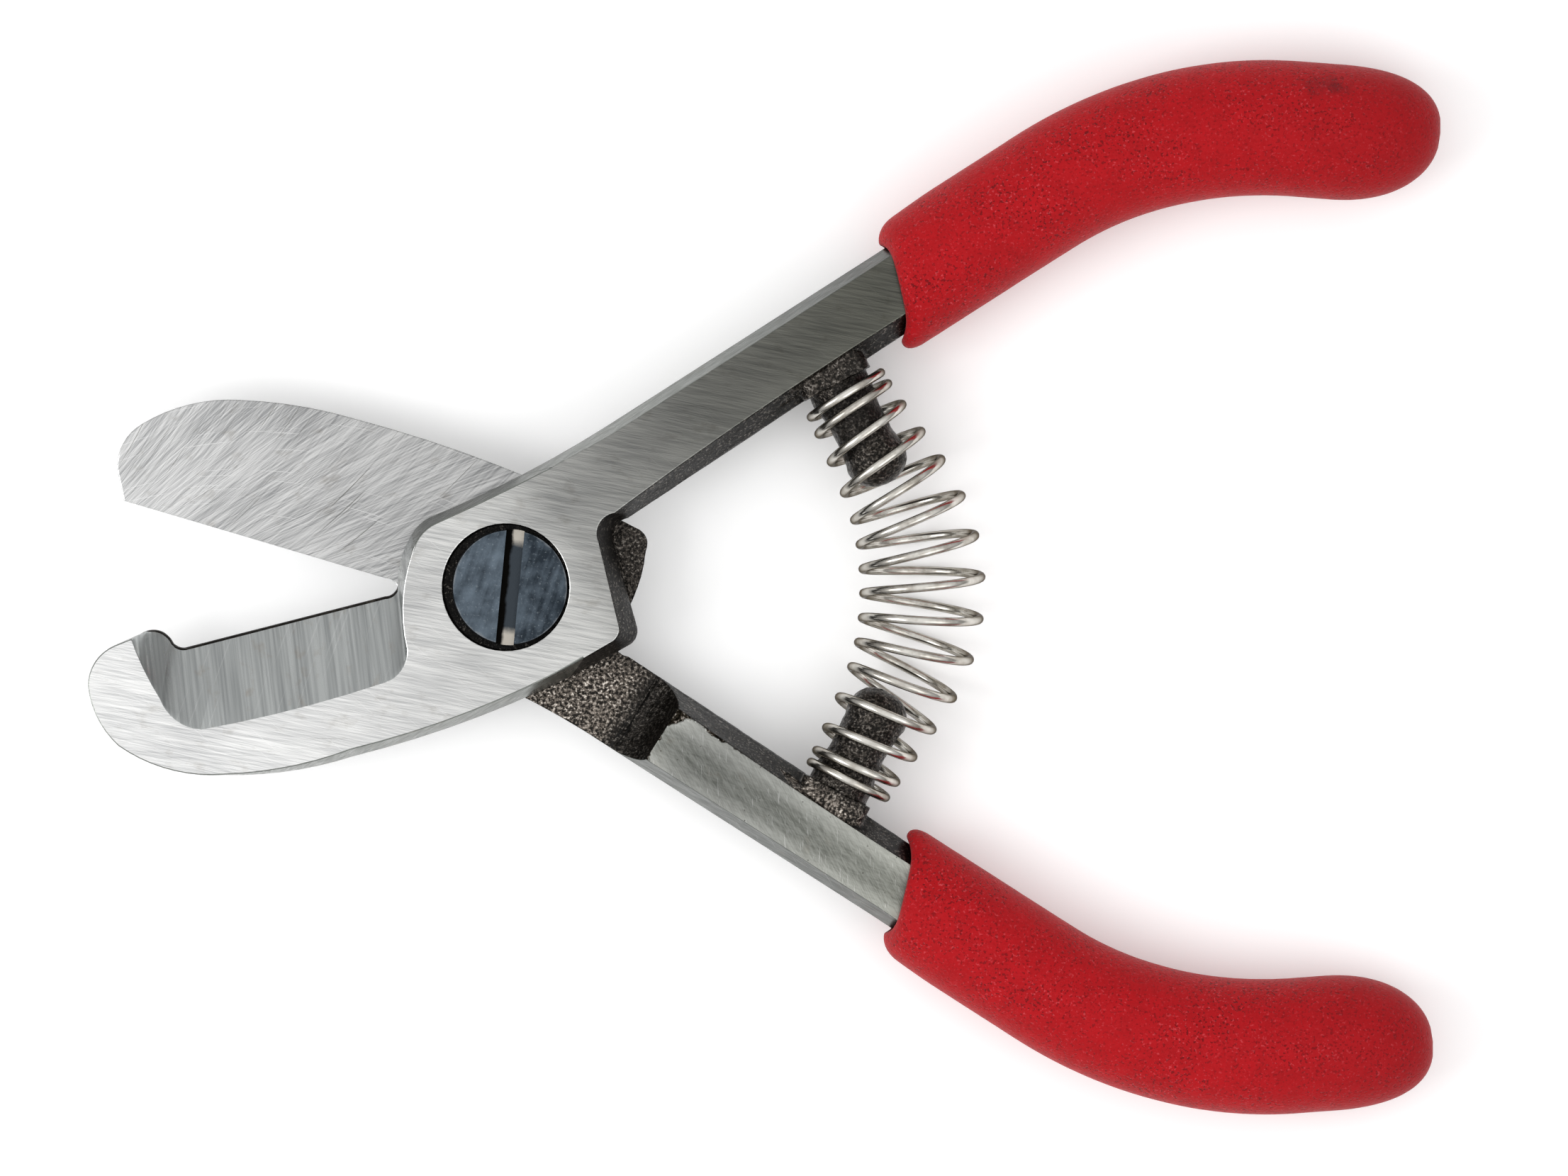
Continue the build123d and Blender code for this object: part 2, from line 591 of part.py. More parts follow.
pieces = {
    "hook_jaw_lever": raise_hook * hook_own,
    "blade_jaw_lever": drop_blade * blade_own,
    "upper_grip": raise_hook * sleeve(hook_own, GRIP_TAIL),
    "lower_grip": drop_blade * sleeve(blade_own, GRIP_TAIL - GRIP_SHORTER),
    "return_spring": return_spring(),
    "pivot_screw": pivot_screw(),
    "head_disc": head_disc(),
    "back_washer": back_washer(),
    "lock_nut": lock_nut(),
}

os.makedirs("parts", exist_ok=True)
for name, shape in pieces.items():
    shape.label = name
    export_step(shape, f"parts/{name}.step")
    box = shape.bounding_box()
    print(f"{name:16s} {shape.volume:10.1f} mm3  {box.min} {box.max}  solids {len(shape.solids())}")
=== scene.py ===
"""Looks of the single-pivot hand snips: ground and forged levers, blued screw, bright spring, foam grips."""

import logging
import math
from collections.abc import Iterable
from dataclasses import dataclass, field
from enum import Enum

import bmesh
import bpy
import numpy as np
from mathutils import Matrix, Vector, noise


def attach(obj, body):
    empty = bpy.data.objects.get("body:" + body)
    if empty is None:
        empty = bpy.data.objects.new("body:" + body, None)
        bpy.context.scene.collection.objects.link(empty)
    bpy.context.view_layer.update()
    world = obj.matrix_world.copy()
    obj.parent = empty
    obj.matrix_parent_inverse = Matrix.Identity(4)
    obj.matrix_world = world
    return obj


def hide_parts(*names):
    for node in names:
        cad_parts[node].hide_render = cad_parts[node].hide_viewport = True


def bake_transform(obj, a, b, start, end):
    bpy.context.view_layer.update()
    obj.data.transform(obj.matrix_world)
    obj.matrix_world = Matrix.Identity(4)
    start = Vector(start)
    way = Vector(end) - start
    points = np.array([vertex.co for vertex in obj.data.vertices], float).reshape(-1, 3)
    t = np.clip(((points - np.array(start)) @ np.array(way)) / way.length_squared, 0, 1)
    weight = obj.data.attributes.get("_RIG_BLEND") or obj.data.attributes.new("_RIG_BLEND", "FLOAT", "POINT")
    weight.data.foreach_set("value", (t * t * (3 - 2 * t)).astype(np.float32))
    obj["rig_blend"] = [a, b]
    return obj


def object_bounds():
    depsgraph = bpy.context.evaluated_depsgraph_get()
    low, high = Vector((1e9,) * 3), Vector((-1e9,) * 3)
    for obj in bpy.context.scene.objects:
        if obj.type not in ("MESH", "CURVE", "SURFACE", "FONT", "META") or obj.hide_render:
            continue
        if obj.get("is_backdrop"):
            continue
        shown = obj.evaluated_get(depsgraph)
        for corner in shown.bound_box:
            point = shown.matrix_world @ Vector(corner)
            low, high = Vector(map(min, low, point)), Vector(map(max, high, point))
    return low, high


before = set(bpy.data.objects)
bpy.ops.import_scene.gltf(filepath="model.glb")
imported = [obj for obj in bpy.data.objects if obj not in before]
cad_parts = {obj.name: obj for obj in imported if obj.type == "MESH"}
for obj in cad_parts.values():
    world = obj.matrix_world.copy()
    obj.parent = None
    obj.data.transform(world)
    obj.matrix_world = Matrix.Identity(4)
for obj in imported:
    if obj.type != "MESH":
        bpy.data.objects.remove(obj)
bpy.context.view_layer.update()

LOG = logging.getLogger("snips")
Socket = bpy.types.NodeSocket
Tree = bpy.types.NodeTree
MM = 0.001  # in metres
HANDLE_ANGLE = math.radians(32.6)  # between each handle and X
MID_HEIGHT = 8.5  # the plane between the two levers, mm


# ---------------------------------------------------------------- shared helpers


def linear(colour: str) -> tuple[float, float, float, float]:
    """Turns an sRGB hex colour into linear RGBA.

    Args:
        colour: Six hex digits with a leading hash.

    Returns:
        Linear red, green, blue and an alpha of 1.
    """
    values = []
    for start in (1, 3, 5):
        c = int(colour[start : start + 2], 16) / 255
        values.append(c / 12.92 if c <= 0.04045 else ((c + 0.055) / 1.055) ** 2.4)
    return values[0], values[1], values[2], 1.0


def add_node(
    tree: Tree, kind: str, *values, named: dict | None = None, out: int | str = 0, **settings
) -> Socket | None:
    """Adds a node, sets it up and links it.

    Args:
        tree: The node tree that gets the node.
        kind: The node's type name, without its ShaderNode prefix.
        *values: A value, or an output to link, for each of the first inputs.
        named: The same for further inputs, by name or number.
        out: Name or number of the output wanted.
        **settings: Attributes of the node itself.

    Returns:
        That output, or None from a node that has none.
    """
    node = tree.nodes.new("ShaderNode" + kind)
    for name, value in settings.items():
        setattr(node, name, value)
    for name, value in (dict(enumerate(values)) | (named or {})).items():
        if isinstance(value, Socket):
            tree.links.new(value, node.inputs[name])
        else:
            node.inputs[name].default_value = value
    return node.outputs[out] if len(node.outputs) else None


def place_in_scene(name: str, data: bpy.types.ID) -> bpy.types.Object:
    """Makes an object of some data and puts it in the scene."""
    made = bpy.data.objects.new(name, data)
    bpy.context.scene.collection.objects.link(made)
    return made


def tube_faces(rings: int, sides: int) -> list[tuple[int, ...]]:
    """Lists the quads between rings of points that follow each other.

    Args:
        rings: How many rings there are.
        sides: How many points each ring has.

    Returns:
        The faces, as point numbers.
    """
    faces = []
    for ring in range(rings - 1):
        for side in range(sides):
            a, b = ring * sides + side, ring * sides + (side + 1) % sides
            faces.append((a, b, b + sides, a + sides))
    return faces


def smooth(share: float) -> float:
    """Eases a share of 0 to 1 at both ends."""
    share = min(max(share, 0.0), 1.0)
    return share * share * (3 - 2 * share)


def handle_axes(mirror: float) -> tuple[Vector, Vector]:
    """Unit vectors along a handle and towards its outer side.

    Args:
        mirror: 1 for the hook lever, -1 for the blade lever.

    Returns:
        The direction along the handle and the one across it.
    """
    c, s = math.cos(HANDLE_ANGLE), math.sin(HANDLE_ANGLE)
    return Vector((c, s * mirror, 0)), Vector((-s, c * mirror, 0))


# ---------------------------------------------------------------- finishes


@dataclass(frozen=True)
class Finish:
    """A surface finish that makes its own material. Positions and sizes are millimetres."""

    name: str

    def material(self) -> bpy.types.Material:
        """Makes the material, or finds the one already made under this name.

        Returns:
            The material.
        """
        made = bpy.data.materials.get(self.name)
        if made is None:
            made = bpy.data.materials.new(self.name)
            made.use_nodes = True
            made.node_tree.nodes.clear()
            add_node(made.node_tree, "OutputMaterial", self.shade(made.node_tree))
        return made

    def shade(self, tree: Tree) -> Socket:
        """Builds the shader in a tree and returns its output."""
        raise NotImplementedError

    @staticmethod
    def place(tree: Tree) -> Socket:
        """Returns the position on the piece in millimetres."""
        where = add_node(tree, "TexCoord", out="Object")
        return add_node(tree, "VectorMath", where, named={"Scale": 1 / MM}, operation="SCALE")

    @staticmethod
    def noise(
        tree: Tree,
        at: Socket,
        size: float | tuple[float, float, float],
        detail: float = 2.0,
        seed: float = 0.0,
        angle: float = 0.0,
    ) -> Socket:
        """Noise whose grains have a real size.

        Args:
            tree: The material's tree.
            at: Position.
            size: Size of a grain, or its length, width and depth.
            detail: Octaves of finer noise.
            seed: Shift that sets two patterns apart.
            angle: Direction of the length about Z, in degrees.

        Returns:
            The noise, about 0.5 on average.
        """
        sides = size if isinstance(size, tuple) else (size, size, size)
        turn = {"Angle": -math.radians(angle)}
        turned = add_node(tree, "VectorRotate", at, named=turn, rotation_type="Z_AXIS")
        scale = {"Scale": tuple(1 / side for side in sides)}
        scaled = add_node(tree, "Mapping", turned, (seed, seed, seed), named=scale)
        return add_node(tree, "TexNoise", scaled, named={"Scale": 1.0, "Detail": detail, "Roughness": 0.6})

    @staticmethod
    def weigh(tree: Tree, *parts: tuple[Socket, float], start: float = 0.0) -> Socket:
        """Adds up patterns, each times its weight.

        Args:
            tree: The material's tree.
            *parts: Each pattern and its weight.
            start: What the sum starts from.

        Returns:
            The sum.
        """
        total = start
        for value, weight in parts:
            total = add_node(tree, "Math", value, weight, total, operation="MULTIPLY_ADD")
        return total

    @staticmethod
    def coats(tree: Tree, base: Socket | str, *coats: tuple[Socket, Socket | str]) -> Socket:
        """Lays coats of colour over each other.

        Args:
            tree: The material's tree.
            base: The lowest colour, as hex or an output.
            *coats: For each coat, the share of it that shows and its colour.

        Returns:
            The colour on top.
        """
        for share, colour in coats:
            below, above = (linear(c) if isinstance(c, str) else c for c in (base, colour))
            base = add_node(tree, "Mix", share, named={6: below, 7: above}, data_type="RGBA", out=2)
        return base

    @staticmethod
    def reach(tree: Tree, at: Socket, direction: Iterable[float]) -> Socket:
        """Returns how far a position lies along a direction."""
        return add_node(tree, "VectorMath", at, tuple(direction), operation="DOT_PRODUCT", out="Value")

    @staticmethod
    def radius(tree: Tree, at: Socket) -> Socket:
        """Returns how far a position lies from the pivot axis."""
        flat = add_node(tree, "VectorMath", at, (1.0, 1.0, 0.0), operation="MULTIPLY")
        return add_node(tree, "VectorMath", flat, operation="LENGTH", out="Value")

    @staticmethod
    def ragged(tree: Tree, distance: Socket, pattern: Socket, spread: float) -> Socket:
        """Makes a distance waver with a pattern, by up to a spread either way."""
        wave = add_node(tree, "MapRange", pattern, 0.3, 0.7, -spread, spread)
        return add_node(tree, "Math", distance, wave, operation="ADD")

    @staticmethod
    def surface(
        tree: Tree,
        colour: Socket,
        rough: Socket | float,
        height: Socket | None = None,
        depth: float = 1.0,
        **sockets: float | tuple,
    ) -> Socket:
        """Joins colour, roughness and relief in one shader.

        Args:
            tree: The material's tree.
            colour: Its colour.
            rough: Its roughness.
            height: The pattern of its relief, or None where it is smooth.
            depth: Height of one unit of that pattern.
            **sockets: Constants for other sockets of the shader, with _ for each space.

        Returns:
            The shader.
        """
        look = {name.replace("_", " "): value for name, value in sockets.items()}
        look |= {"Base Color": colour, "Roughness": rough}
        if height is not None:
            relief = {"Height": height, "Distance": depth * MM, "Strength": 1.0}
            look["Normal"] = add_node(tree, "Bump", named=relief)
        return add_node(tree, "BsdfPrincipled", named=look)


@dataclass(frozen=True)
class ForgedScale(Finish):
    """Steel left as it came from the hot forging dies, under a lumpy, oily oxide skin.

    It gives black grains with small soft highlights, and pale painted glints on the highest tops, partly
    standing for rubbed metal.
    """

    dark: str = "#14110D"
    light: str = "#7A7168"
    grain: float = 0.42
    relief: float = 0.12
    glint: str = "#D8D0C6"
    glints: float = 1.0  # share of the tops that gets a painted glint, partly rubbed metal
    roughness: tuple[float, float] = (0.22, 0.45)
    step_shade: tuple[float, float, float, float] | None = None  # painted shade by the blade lever's step: starts, is full, thins and ends along the handle
    # colour of the painted shade by the step and of the darker inner side
    dirt_and_shade: str = "#0E0B08"
    darkening_shares: tuple[float, float] = (0.88, 0.72)  # of painted shade on that stretch, and of darkening on the handle's inner side

    def darkened(self, tree: Tree, at: Socket, patch: Socket) -> Socket:
        """Finds where the blade lever's handle is darkened: painted shade along the stretch by the step, and
        darker towards its inner side.

        Args:
            tree: The material's tree.
            at: Position.
            patch: Pattern that makes its borders ragged.

        Returns:
            The share of dirt.
        """
        along, out = handle_axes(-1.0)
        starts, full, thins, ends = self.step_shade
        stretch, inner = self.darkening_shares
        reach = self.ragged(tree, self.reach(tree, at, along), patch, 0.8)
        begins = add_node(tree, "MapRange", reach, starts, full)
        fades = add_node(tree, "MapRange", reach, thins, ends, stretch, 0.0)
        on_stretch = add_node(tree, "Math", begins, fades, operation="MULTIPLY")
        inside = add_node(tree, "MapRange", self.reach(tree, at, out), 1.8, -0.8, 0.0, inner)
        return add_node(tree, "Math", on_stretch, inside, operation="MAXIMUM")

    def layers(self, tree: Tree, at: Socket) -> tuple[Socket, Socket, Socket]:
        """Makes the oxide skin.

        Args:
            tree: The material's tree.
            at: Position.

        Returns:
            Its colour, roughness and height.
        """
        lumps = self.noise(tree, at, self.grain, 1.0)
        crumbs = self.noise(tree, at, self.grain * 0.5, 2.0, 5.0)
        patch = self.noise(tree, at, 3.0, 3.0, 9.0)
        height = self.weigh(tree, (lumps, 1.0), (crumbs, 0.6))
        sides = add_node(tree, "MapRange", height, 0.7, 0.93)
        # pale tops: painted glints in patches, partly rubbed metal
        tops = add_node(tree, "MapRange", height, 0.9, 1.0)
        worn = add_node(tree, "MapRange", patch, 0.35, 0.6, 0.2, self.glints)
        painted_highlight = add_node(tree, "Math", tops, worn, operation="MULTIPLY")
        colour = self.coats(tree, self.dark, (sides, self.light), (painted_highlight, self.glint))
        # painted shade by the step, and a darker inner side
        if self.step_shade is not None:
            colour = self.coats(tree, colour, (self.darkened(tree, at, patch), self.dirt_and_shade))
        glossy, dull = self.roughness
        rough = add_node(tree, "MapRange", crumbs, 0.35, 0.65, dull, glossy)
        return colour, rough, add_node(tree, "Math", height, self.relief, operation="MULTIPLY")

    def shade(self, tree: Tree) -> Socket:
        """Oxide lumps in colour, roughness and relief."""
        return self.surface(tree, *self.layers(tree, self.place(tree)), Metallic=0.75)


@dataclass(frozen=True)
class PaintedShadeRamp:
    """Painted shade: how a ground face's colour darkens along one direction, where the light falls off."""

    angle: float  # direction on the face, degrees
    stops: tuple[tuple[float, float], ...]  # distance in mm and share of the colour kept under the painted shade
    sleeve_reflection: float = 0.0  # painted reflection of the red sleeves: share of blue lost by the last stop


@dataclass(frozen=True)
class GroundSteel(Finish):
    """Tool steel faced on a belt grinder.

    It gives bright fine lines in one lay, stray scratches, faint clouds and cloudy stains.
    """

    light: str = "#F7F7F6"
    dark: str = "#BABBBC"
    angle: float = 0.0  # lay of the lines, degrees
    fan: tuple[float, float] | None = None  # the lines spread from this point instead
    fan_radius: float = 45.0  # at this distance from it they have their stated width
    spread: float = 9.0  # how far the second set of lines is turned from the first, degrees
    line: tuple[float, float] = (7.0, 0.11)  # length and width of a line; real grit is finer
    coarse: float = 0.45  # weight of a second set three times as wide
    cloud: float = 0.3  # weight of the slow unevenness
    depth: float = 0.004
    roughness: tuple[float, float] = (0.24, 0.38)
    scratch: float = 0.25
    nick: str = "#FFFFFE"  # fresh bright scratches
    gouge: str = "#7B7B76"  # deeper ones, which look dark
    stain: str = "#8A8377"
    stain_share: float = 0.08
    pits: float = 0.0
    pit: str = "#2B2722"
    # painted shade that darkens the face along one direction
    fade: PaintedShadeRamp | None = None
    edge_sheen: tuple[float, float, float, float] | None = None  # painted highlight towards a handle's long edges: mirror, middle, half width across it, gain
    skin: ForgedScale | None = None  # oxide left where the grinder missed a rolled corner
    corner: tuple[float, float, float, float] = (-1.0, 30.6, 4.85, 3.0)  # its mirror, u, v and radius

    def lay(self, tree: Tree, at: Socket) -> Socket:
        """Turns or fans out the position.

        Args:
            tree: The material's tree.
            at: Position.

        Returns:
            Coordinates whose X runs along the grinding lines.
        """
        if self.fan is None:
            turn = {"Angle": -math.radians(self.angle)}
            return add_node(tree, "VectorRotate", at, named=turn, rotation_type="Z_AXIS")
        away = add_node(tree, "VectorMath", at, (*self.fan, 0.0), operation="SUBTRACT")
        parts = add_node(tree, "SeparateXYZ", away).node.outputs
        turn = add_node(tree, "Math", parts["Y"], parts["X"], operation="ARCTAN2")
        arc = add_node(tree, "Math", turn, self.fan_radius, operation="MULTIPLY")
        reach = add_node(tree, "VectorMath", away, operation="LENGTH", out="Value")
        return add_node(tree, "CombineXYZ", reach, arc, parts["Z"])

    def paint_shade(self, tree: Tree, at: Socket, colour: Socket) -> Socket:
        """Multiplies a colour by the painted shade ramp.

        Args:
            tree: The material's tree.
            at: Position.
            colour: The colour before.

        Returns:
            The colour after.
        """
        a = math.radians(self.fade.angle)
        along = self.reach(tree, at, (math.cos(a), math.sin(a), 0.0))
        first, last = self.fade.stops[0][0], self.fade.stops[-1][0]
        ramp = add_node(tree, "ValToRGB", add_node(tree, "MapRange", along, first, last))
        bands = ramp.node.color_ramp
        bands.interpolation = "B_SPLINE"
        while len(bands.elements) < len(self.fade.stops):
            bands.elements.new(0.5)
        for element, (reach, kept) in zip(bands.elements, self.fade.stops):
            element.position = (reach - first) / (last - first)
            element.color = (kept, kept, kept * (1.0 - self.fade.sleeve_reflection * element.position**3), 1.0)
        both = {6: colour, 7: ramp}
        return add_node(tree, "Mix", 1.0, named=both, data_type="RGBA", blend_type="MULTIPLY", out=2)

    def painted_highlight(self, tree: Tree, at: Socket, colour: Socket) -> Socket:
        """Paints a highlight on the face towards its two long edges.

        Args:
            tree: The material's tree.
            at: Position.
            colour: The colour before.

        Returns:
            The colour after.
        """
        mirror, middle, half, gain = self.edge_sheen
        across = self.reach(tree, at, handle_axes(mirror)[1])
        off_middle = add_node(tree, "Math", across, middle, operation="SUBTRACT")
        aside = add_node(tree, "Math", off_middle, operation="ABSOLUTE")
        share = add_node(tree, "MapRange", aside, half * 0.35, half, 0.0, gain)
        both = {6: colour, 7: linear("#F4F4F0")}
        return add_node(tree, "Mix", share, named=both, data_type="RGBA", blend_type="ADD", out=2)

    def missed(self, tree: Tree, at: Socket) -> Socket:
        """Finds the oxide beyond the ragged rounded corner of the ground face.

        Args:
            tree: The material's tree.
            at: Position.

        Returns:
            Its share: 1 beyond the corner, 0 on the ground face.
        """
        mirror, *corner, radius = self.corner
        gaps = []
        for axis, edge in zip(handle_axes(mirror), corner):
            gap = add_node(tree, "Math", edge, self.reach(tree, at, axis), operation="SUBTRACT")
            gaps.append(add_node(tree, "Math", gap, 0.0, operation="MAXIMUM"))
        away = add_node(tree, "CombineXYZ", *gaps)
        away = add_node(tree, "VectorMath", away, operation="LENGTH", out="Value")
        away = self.ragged(tree, away, self.noise(tree, at, 2.4, 3.0, 41.0), 0.55)
        return add_node(tree, "MapRange", away, radius - 0.12, radius + 0.12)

    def shade(self, tree: Tree) -> Socket:
        """Grinding lines in colour, roughness and relief."""
        at = self.place(tree)
        lay = self.lay(tree, at)
        length, width = self.line
        fine = self.noise(tree, lay, (length, width, length), 1.0)
        cross = self.noise(tree, lay, (length * 0.8, width * 1.4, length), 1.0, 7.0, self.spread)
        wide = self.noise(tree, lay, (length * 2.5, width * 3.2, length), 1.0, 11.0, self.spread * 0.5)
        cloud = self.noise(tree, lay, (14.0, 5.0, 5.0), 3.0, 3.0)
        lines = self.weigh(tree, (fine, 0.62), (cross, 0.38))
        level = -(self.coarse + self.cloud) / 2
        tone = self.weigh(tree, (lines, 1.0), (wide, self.coarse), (cloud, self.cloud), start=level)
        tone = add_node(tree, "MapRange", tone, 0.32, 0.66)
        stray = self.noise(tree, lay, (length * 1.1, width * 0.9, length), 0.0, 13.0, -27.0)
        nick = add_node(tree, "MapRange", stray, 0.74, 0.80, 0.0, self.scratch * 2)
        deep = self.noise(tree, lay, (length * 1.4, width, length), 0.0, 23.0, 14.0)
        score = add_node(tree, "MapRange", deep, 0.74, 0.82, 0.0, self.scratch * 2)
        blot = self.noise(tree, at, (3.2, 2.2, 2.2), 4.0, 31.0, self.angle)
        stained = add_node(tree, "MapRange", blot, 0.66 - self.stain_share, 0.82, 0.0, 0.5)
        marks = ((tone, self.light), (nick, self.nick), (score, self.gouge), (stained, self.stain))
        colour = self.coats(tree, self.dark, *marks)
        # painted highlight along the handle's long edges
        if self.edge_sheen is not None:
            colour = self.painted_highlight(tree, at, colour)
        # painted shade along the face
        if self.fade is not None:
            colour = self.paint_shade(tree, at, colour)
        height = self.weigh(tree, (lines, 1.0), (score, -1.2))
        if self.pits:
            dots = add_node(tree, "TexVoronoi", at, named={"Scale": 0.7, "Randomness": 1.0}, out="Distance")
            pitted = add_node(tree, "MapRange", dots, 0.05 + 0.10 * self.pits, 0.02, 0.0, 0.85)
            colour = self.coats(tree, colour, (pitted, self.pit))
            height = self.weigh(tree, (height, 1.0), (pitted, -1.0))
        glossy, dull = self.roughness
        rough = add_node(tree, "MapRange", lines, 0.35, 0.65, dull, glossy)
        rough = self.weigh(tree, (rough, 1.0), (stained, 0.2))
        height = add_node(tree, "Math", height, self.depth, operation="MULTIPLY")
        if self.skin is not None:
            missed = self.missed(tree, at)
            skin_colour, skin_rough, skin_height = self.skin.layers(tree, at)
            colour = self.coats(tree, colour, (missed, skin_colour))
            rough = add_node(tree, "Mix", missed, named={2: rough, 3: skin_rough})
            height = add_node(tree, "Mix", missed, named={2: height, 3: skin_height})
        return self.surface(tree, colour, rough, height, Metallic=1.0)


@dataclass(frozen=True)
class BluedSteel(Finish):
    """Turned screw head, heat blued and oiled.

    It gives slate blue clouds, a pale worn rim, painted shade towards +X, and a slot painted dark, with a
    painted shadow along one wall and painted highlights at its ends.
    """

    rim: float = 7.7  # radius of the head
    top: float = 13.35  # height of the head's face
    slot_angle: float = 84.5  # degrees

    def shade(self, tree: Tree) -> Socket:
        """Mottled blue with a worn rim, painted shade, and a slot with painted shade, shadow and highlights.
        """
        at = self.place(tree)
        parts = add_node(tree, "SeparateXYZ", at).node.outputs
        cloud = self.noise(tree, at, 2.6, 4.0)
        fine = self.noise(tree, at, 0.35, 2.0, 4.0)
        streak = self.noise(tree, at, (7.0, 0.7, 0.7), 2.0, 8.0, 70.0)
        # painted shade: the head darker towards +X
        shaded = add_node(tree, "MapRange", parts["X"], -1.0, 3.0, 0.0, 0.14)
        tone = self.weigh(tree, (cloud, 0.7), (streak, 0.3), (shaded, -1.0))
        tone = add_node(tree, "MapRange", tone, 0.28, 0.68)
        specks = add_node(tree, "MapRange", fine, 0.60, 0.74, 0.0, 0.3)
        radius = self.ragged(tree, self.radius(tree, at), cloud, 0.25)
        worn = add_node(tree, "MapRange", radius, self.rim - 0.35, self.rim - 0.1, 0.0, 0.7)
        colour = self.coats(tree, "#2A3138", (tone, "#66727D"), (specks, "#9AA3A9"), (worn, "#82868A"))
        # the slot: painted shade on its floor, painted highlights at its two ends and a painted shadow along
        # one wall
        sunk = add_node(tree, "MapRange", parts["Z"], self.top - 0.35, self.top - 0.75)
        ends = add_node(tree, "MapRange", radius, self.rim - 2.4, self.rim - 1.4)
        a = math.radians(self.slot_angle)
        across = self.reach(tree, at, (math.sin(a), -math.cos(a), 0.0))
        shadow = add_node(tree, "MapRange", self.ragged(tree, across, cloud, 0.2), -0.15, -0.5)
        floor = self.coats(tree, "#3A4046", (ends, "#B8B2A8"), (shadow, "#0C0B0A"))
        colour = self.coats(tree, colour, (sunk, floor))
        rough = add_node(tree, "MapRange", cloud, 0.3, 0.7, 0.46, 0.3)
        return self.surface(tree, colour, rough, fine, 0.02, Metallic=1.0)


@dataclass(frozen=True)
class SpringWire(Finish):
    """Hard-drawn spring wire, bright from the die.

    It gives nearly a mirror, with sharp streaks of light along each coil and slight tarnish.
    """

    edge_tint: str = "#6B655E"  # what it reflects at a glancing angle

    def shade(self, tree: Tree) -> Socket:
        """Polished wire with slight tarnish."""
        cloud = self.noise(tree, self.place(tree), 3.0, 3.0)
        tarnish = add_node(tree, "MapRange", cloud, 0.4, 0.7)
        colour = self.coats(tree, "#D9D6CF", (tarnish, "#A8A298"))
        rough = add_node(tree, "MapRange", cloud, 0.3, 0.7, 0.14, 0.24)
        return self.surface(tree, colour, rough, Metallic=1.0, Specular_Tint=linear(self.edge_tint))


@dataclass(frozen=True)
class FoamRubber(Finish):
    """Nitrile rubber foamed in a mould, with a closed-cell skin.

    It gives a matte red full of fine dark and pale pores, with painted shade growing towards +X, where the
    light falls off.
    """

    body: str = "#AE0B15"
    deep: str = "#9C0911"
    pale: str = "#DC5A62"
    pit: str = "#5A060B"
    pore: float = 0.4  # real cells are finer
    end_shade: str = "#8C0A12"
    end_shade_from: tuple[float, float] = (96.0, 124.0)  # X where the painted shade starts, and where it is full
    smudge: tuple[float, float, float] = (108.4, 66.4, 2.6)  # x, y and half length of a dark rub
    smudge_tint: str = "#41151A"

    def shade(self, tree: Tree) -> Socket:
        """Pores and speckles over a softly mottled red."""
        at = self.place(tree)
        mottle = self.noise(tree, at, 2.5, 3.0)
        grain = self.noise(tree, at, self.pore, 2.0, 3.0)
        speck = self.noise(tree, at, self.pore * 0.9, 1.0, 17.0)
        dark_speck = self.noise(tree, at, self.pore, 1.0, 37.0)
        patch = self.noise(tree, at, (11.0, 7.0, 7.0), 2.0, 21.0)
        worn = add_node(tree, "MapRange", patch, 0.38, 0.62, 0.45, 1.0)
        pores = add_node(tree, "MapRange", dark_speck, 0.575, 0.68, 0.0, 0.78)
        pores = add_node(tree, "Math", pores, worn, operation="MULTIPLY")
        pale = add_node(tree, "MapRange", speck, 0.61, 0.76, 0.0, 0.5)
        pale = add_node(tree, "Math", pale, worn, operation="MULTIPLY")
        # painted shade towards the far ends
        end_shaded = add_node(tree, "MapRange", self.reach(tree, at, (1.0, 0.0, 0.0)), *self.end_shade_from, 0.0, 0.6)
        x, y, radius = self.smudge
        flat = add_node(tree, "VectorMath", at, (0.5, 1.0, 0.0), operation="MULTIPLY")
        away = add_node(tree, "VectorMath", flat, (x * 0.5, y, 0.0), operation="DISTANCE", out="Value")
        away = self.ragged(tree, away, mottle, 0.7)
        smudged = add_node(tree, "MapRange", away, radius * 0.6, radius * 0.1, 0.0, 0.5)
        coats = (
            (add_node(tree, "MapRange", mottle, 0.3, 0.7), self.body),
            (add_node(tree, "MapRange", grain, 0.35, 0.7, 0.0, 0.5), self.body),
            (pores, self.pit),
            (pale, self.pale),
            (end_shaded, self.end_shade),
            (smudged, self.smudge_tint),
        )
        colour = self.coats(tree, self.deep, *coats)
        height = self.weigh(tree, (grain, 1.0), (pores, -0.9))
        rough = add_node(tree, "MapRange", grain, 0.3, 0.7, 0.78, 0.6)
        gloss = {"IOR": 1.5, "Specular_IOR_Level": 0.15, "Sheen_Weight": 0.1, "Sheen_Roughness": 0.4}
        return self.surface(tree, colour, rough, height, 0.08, **gloss)


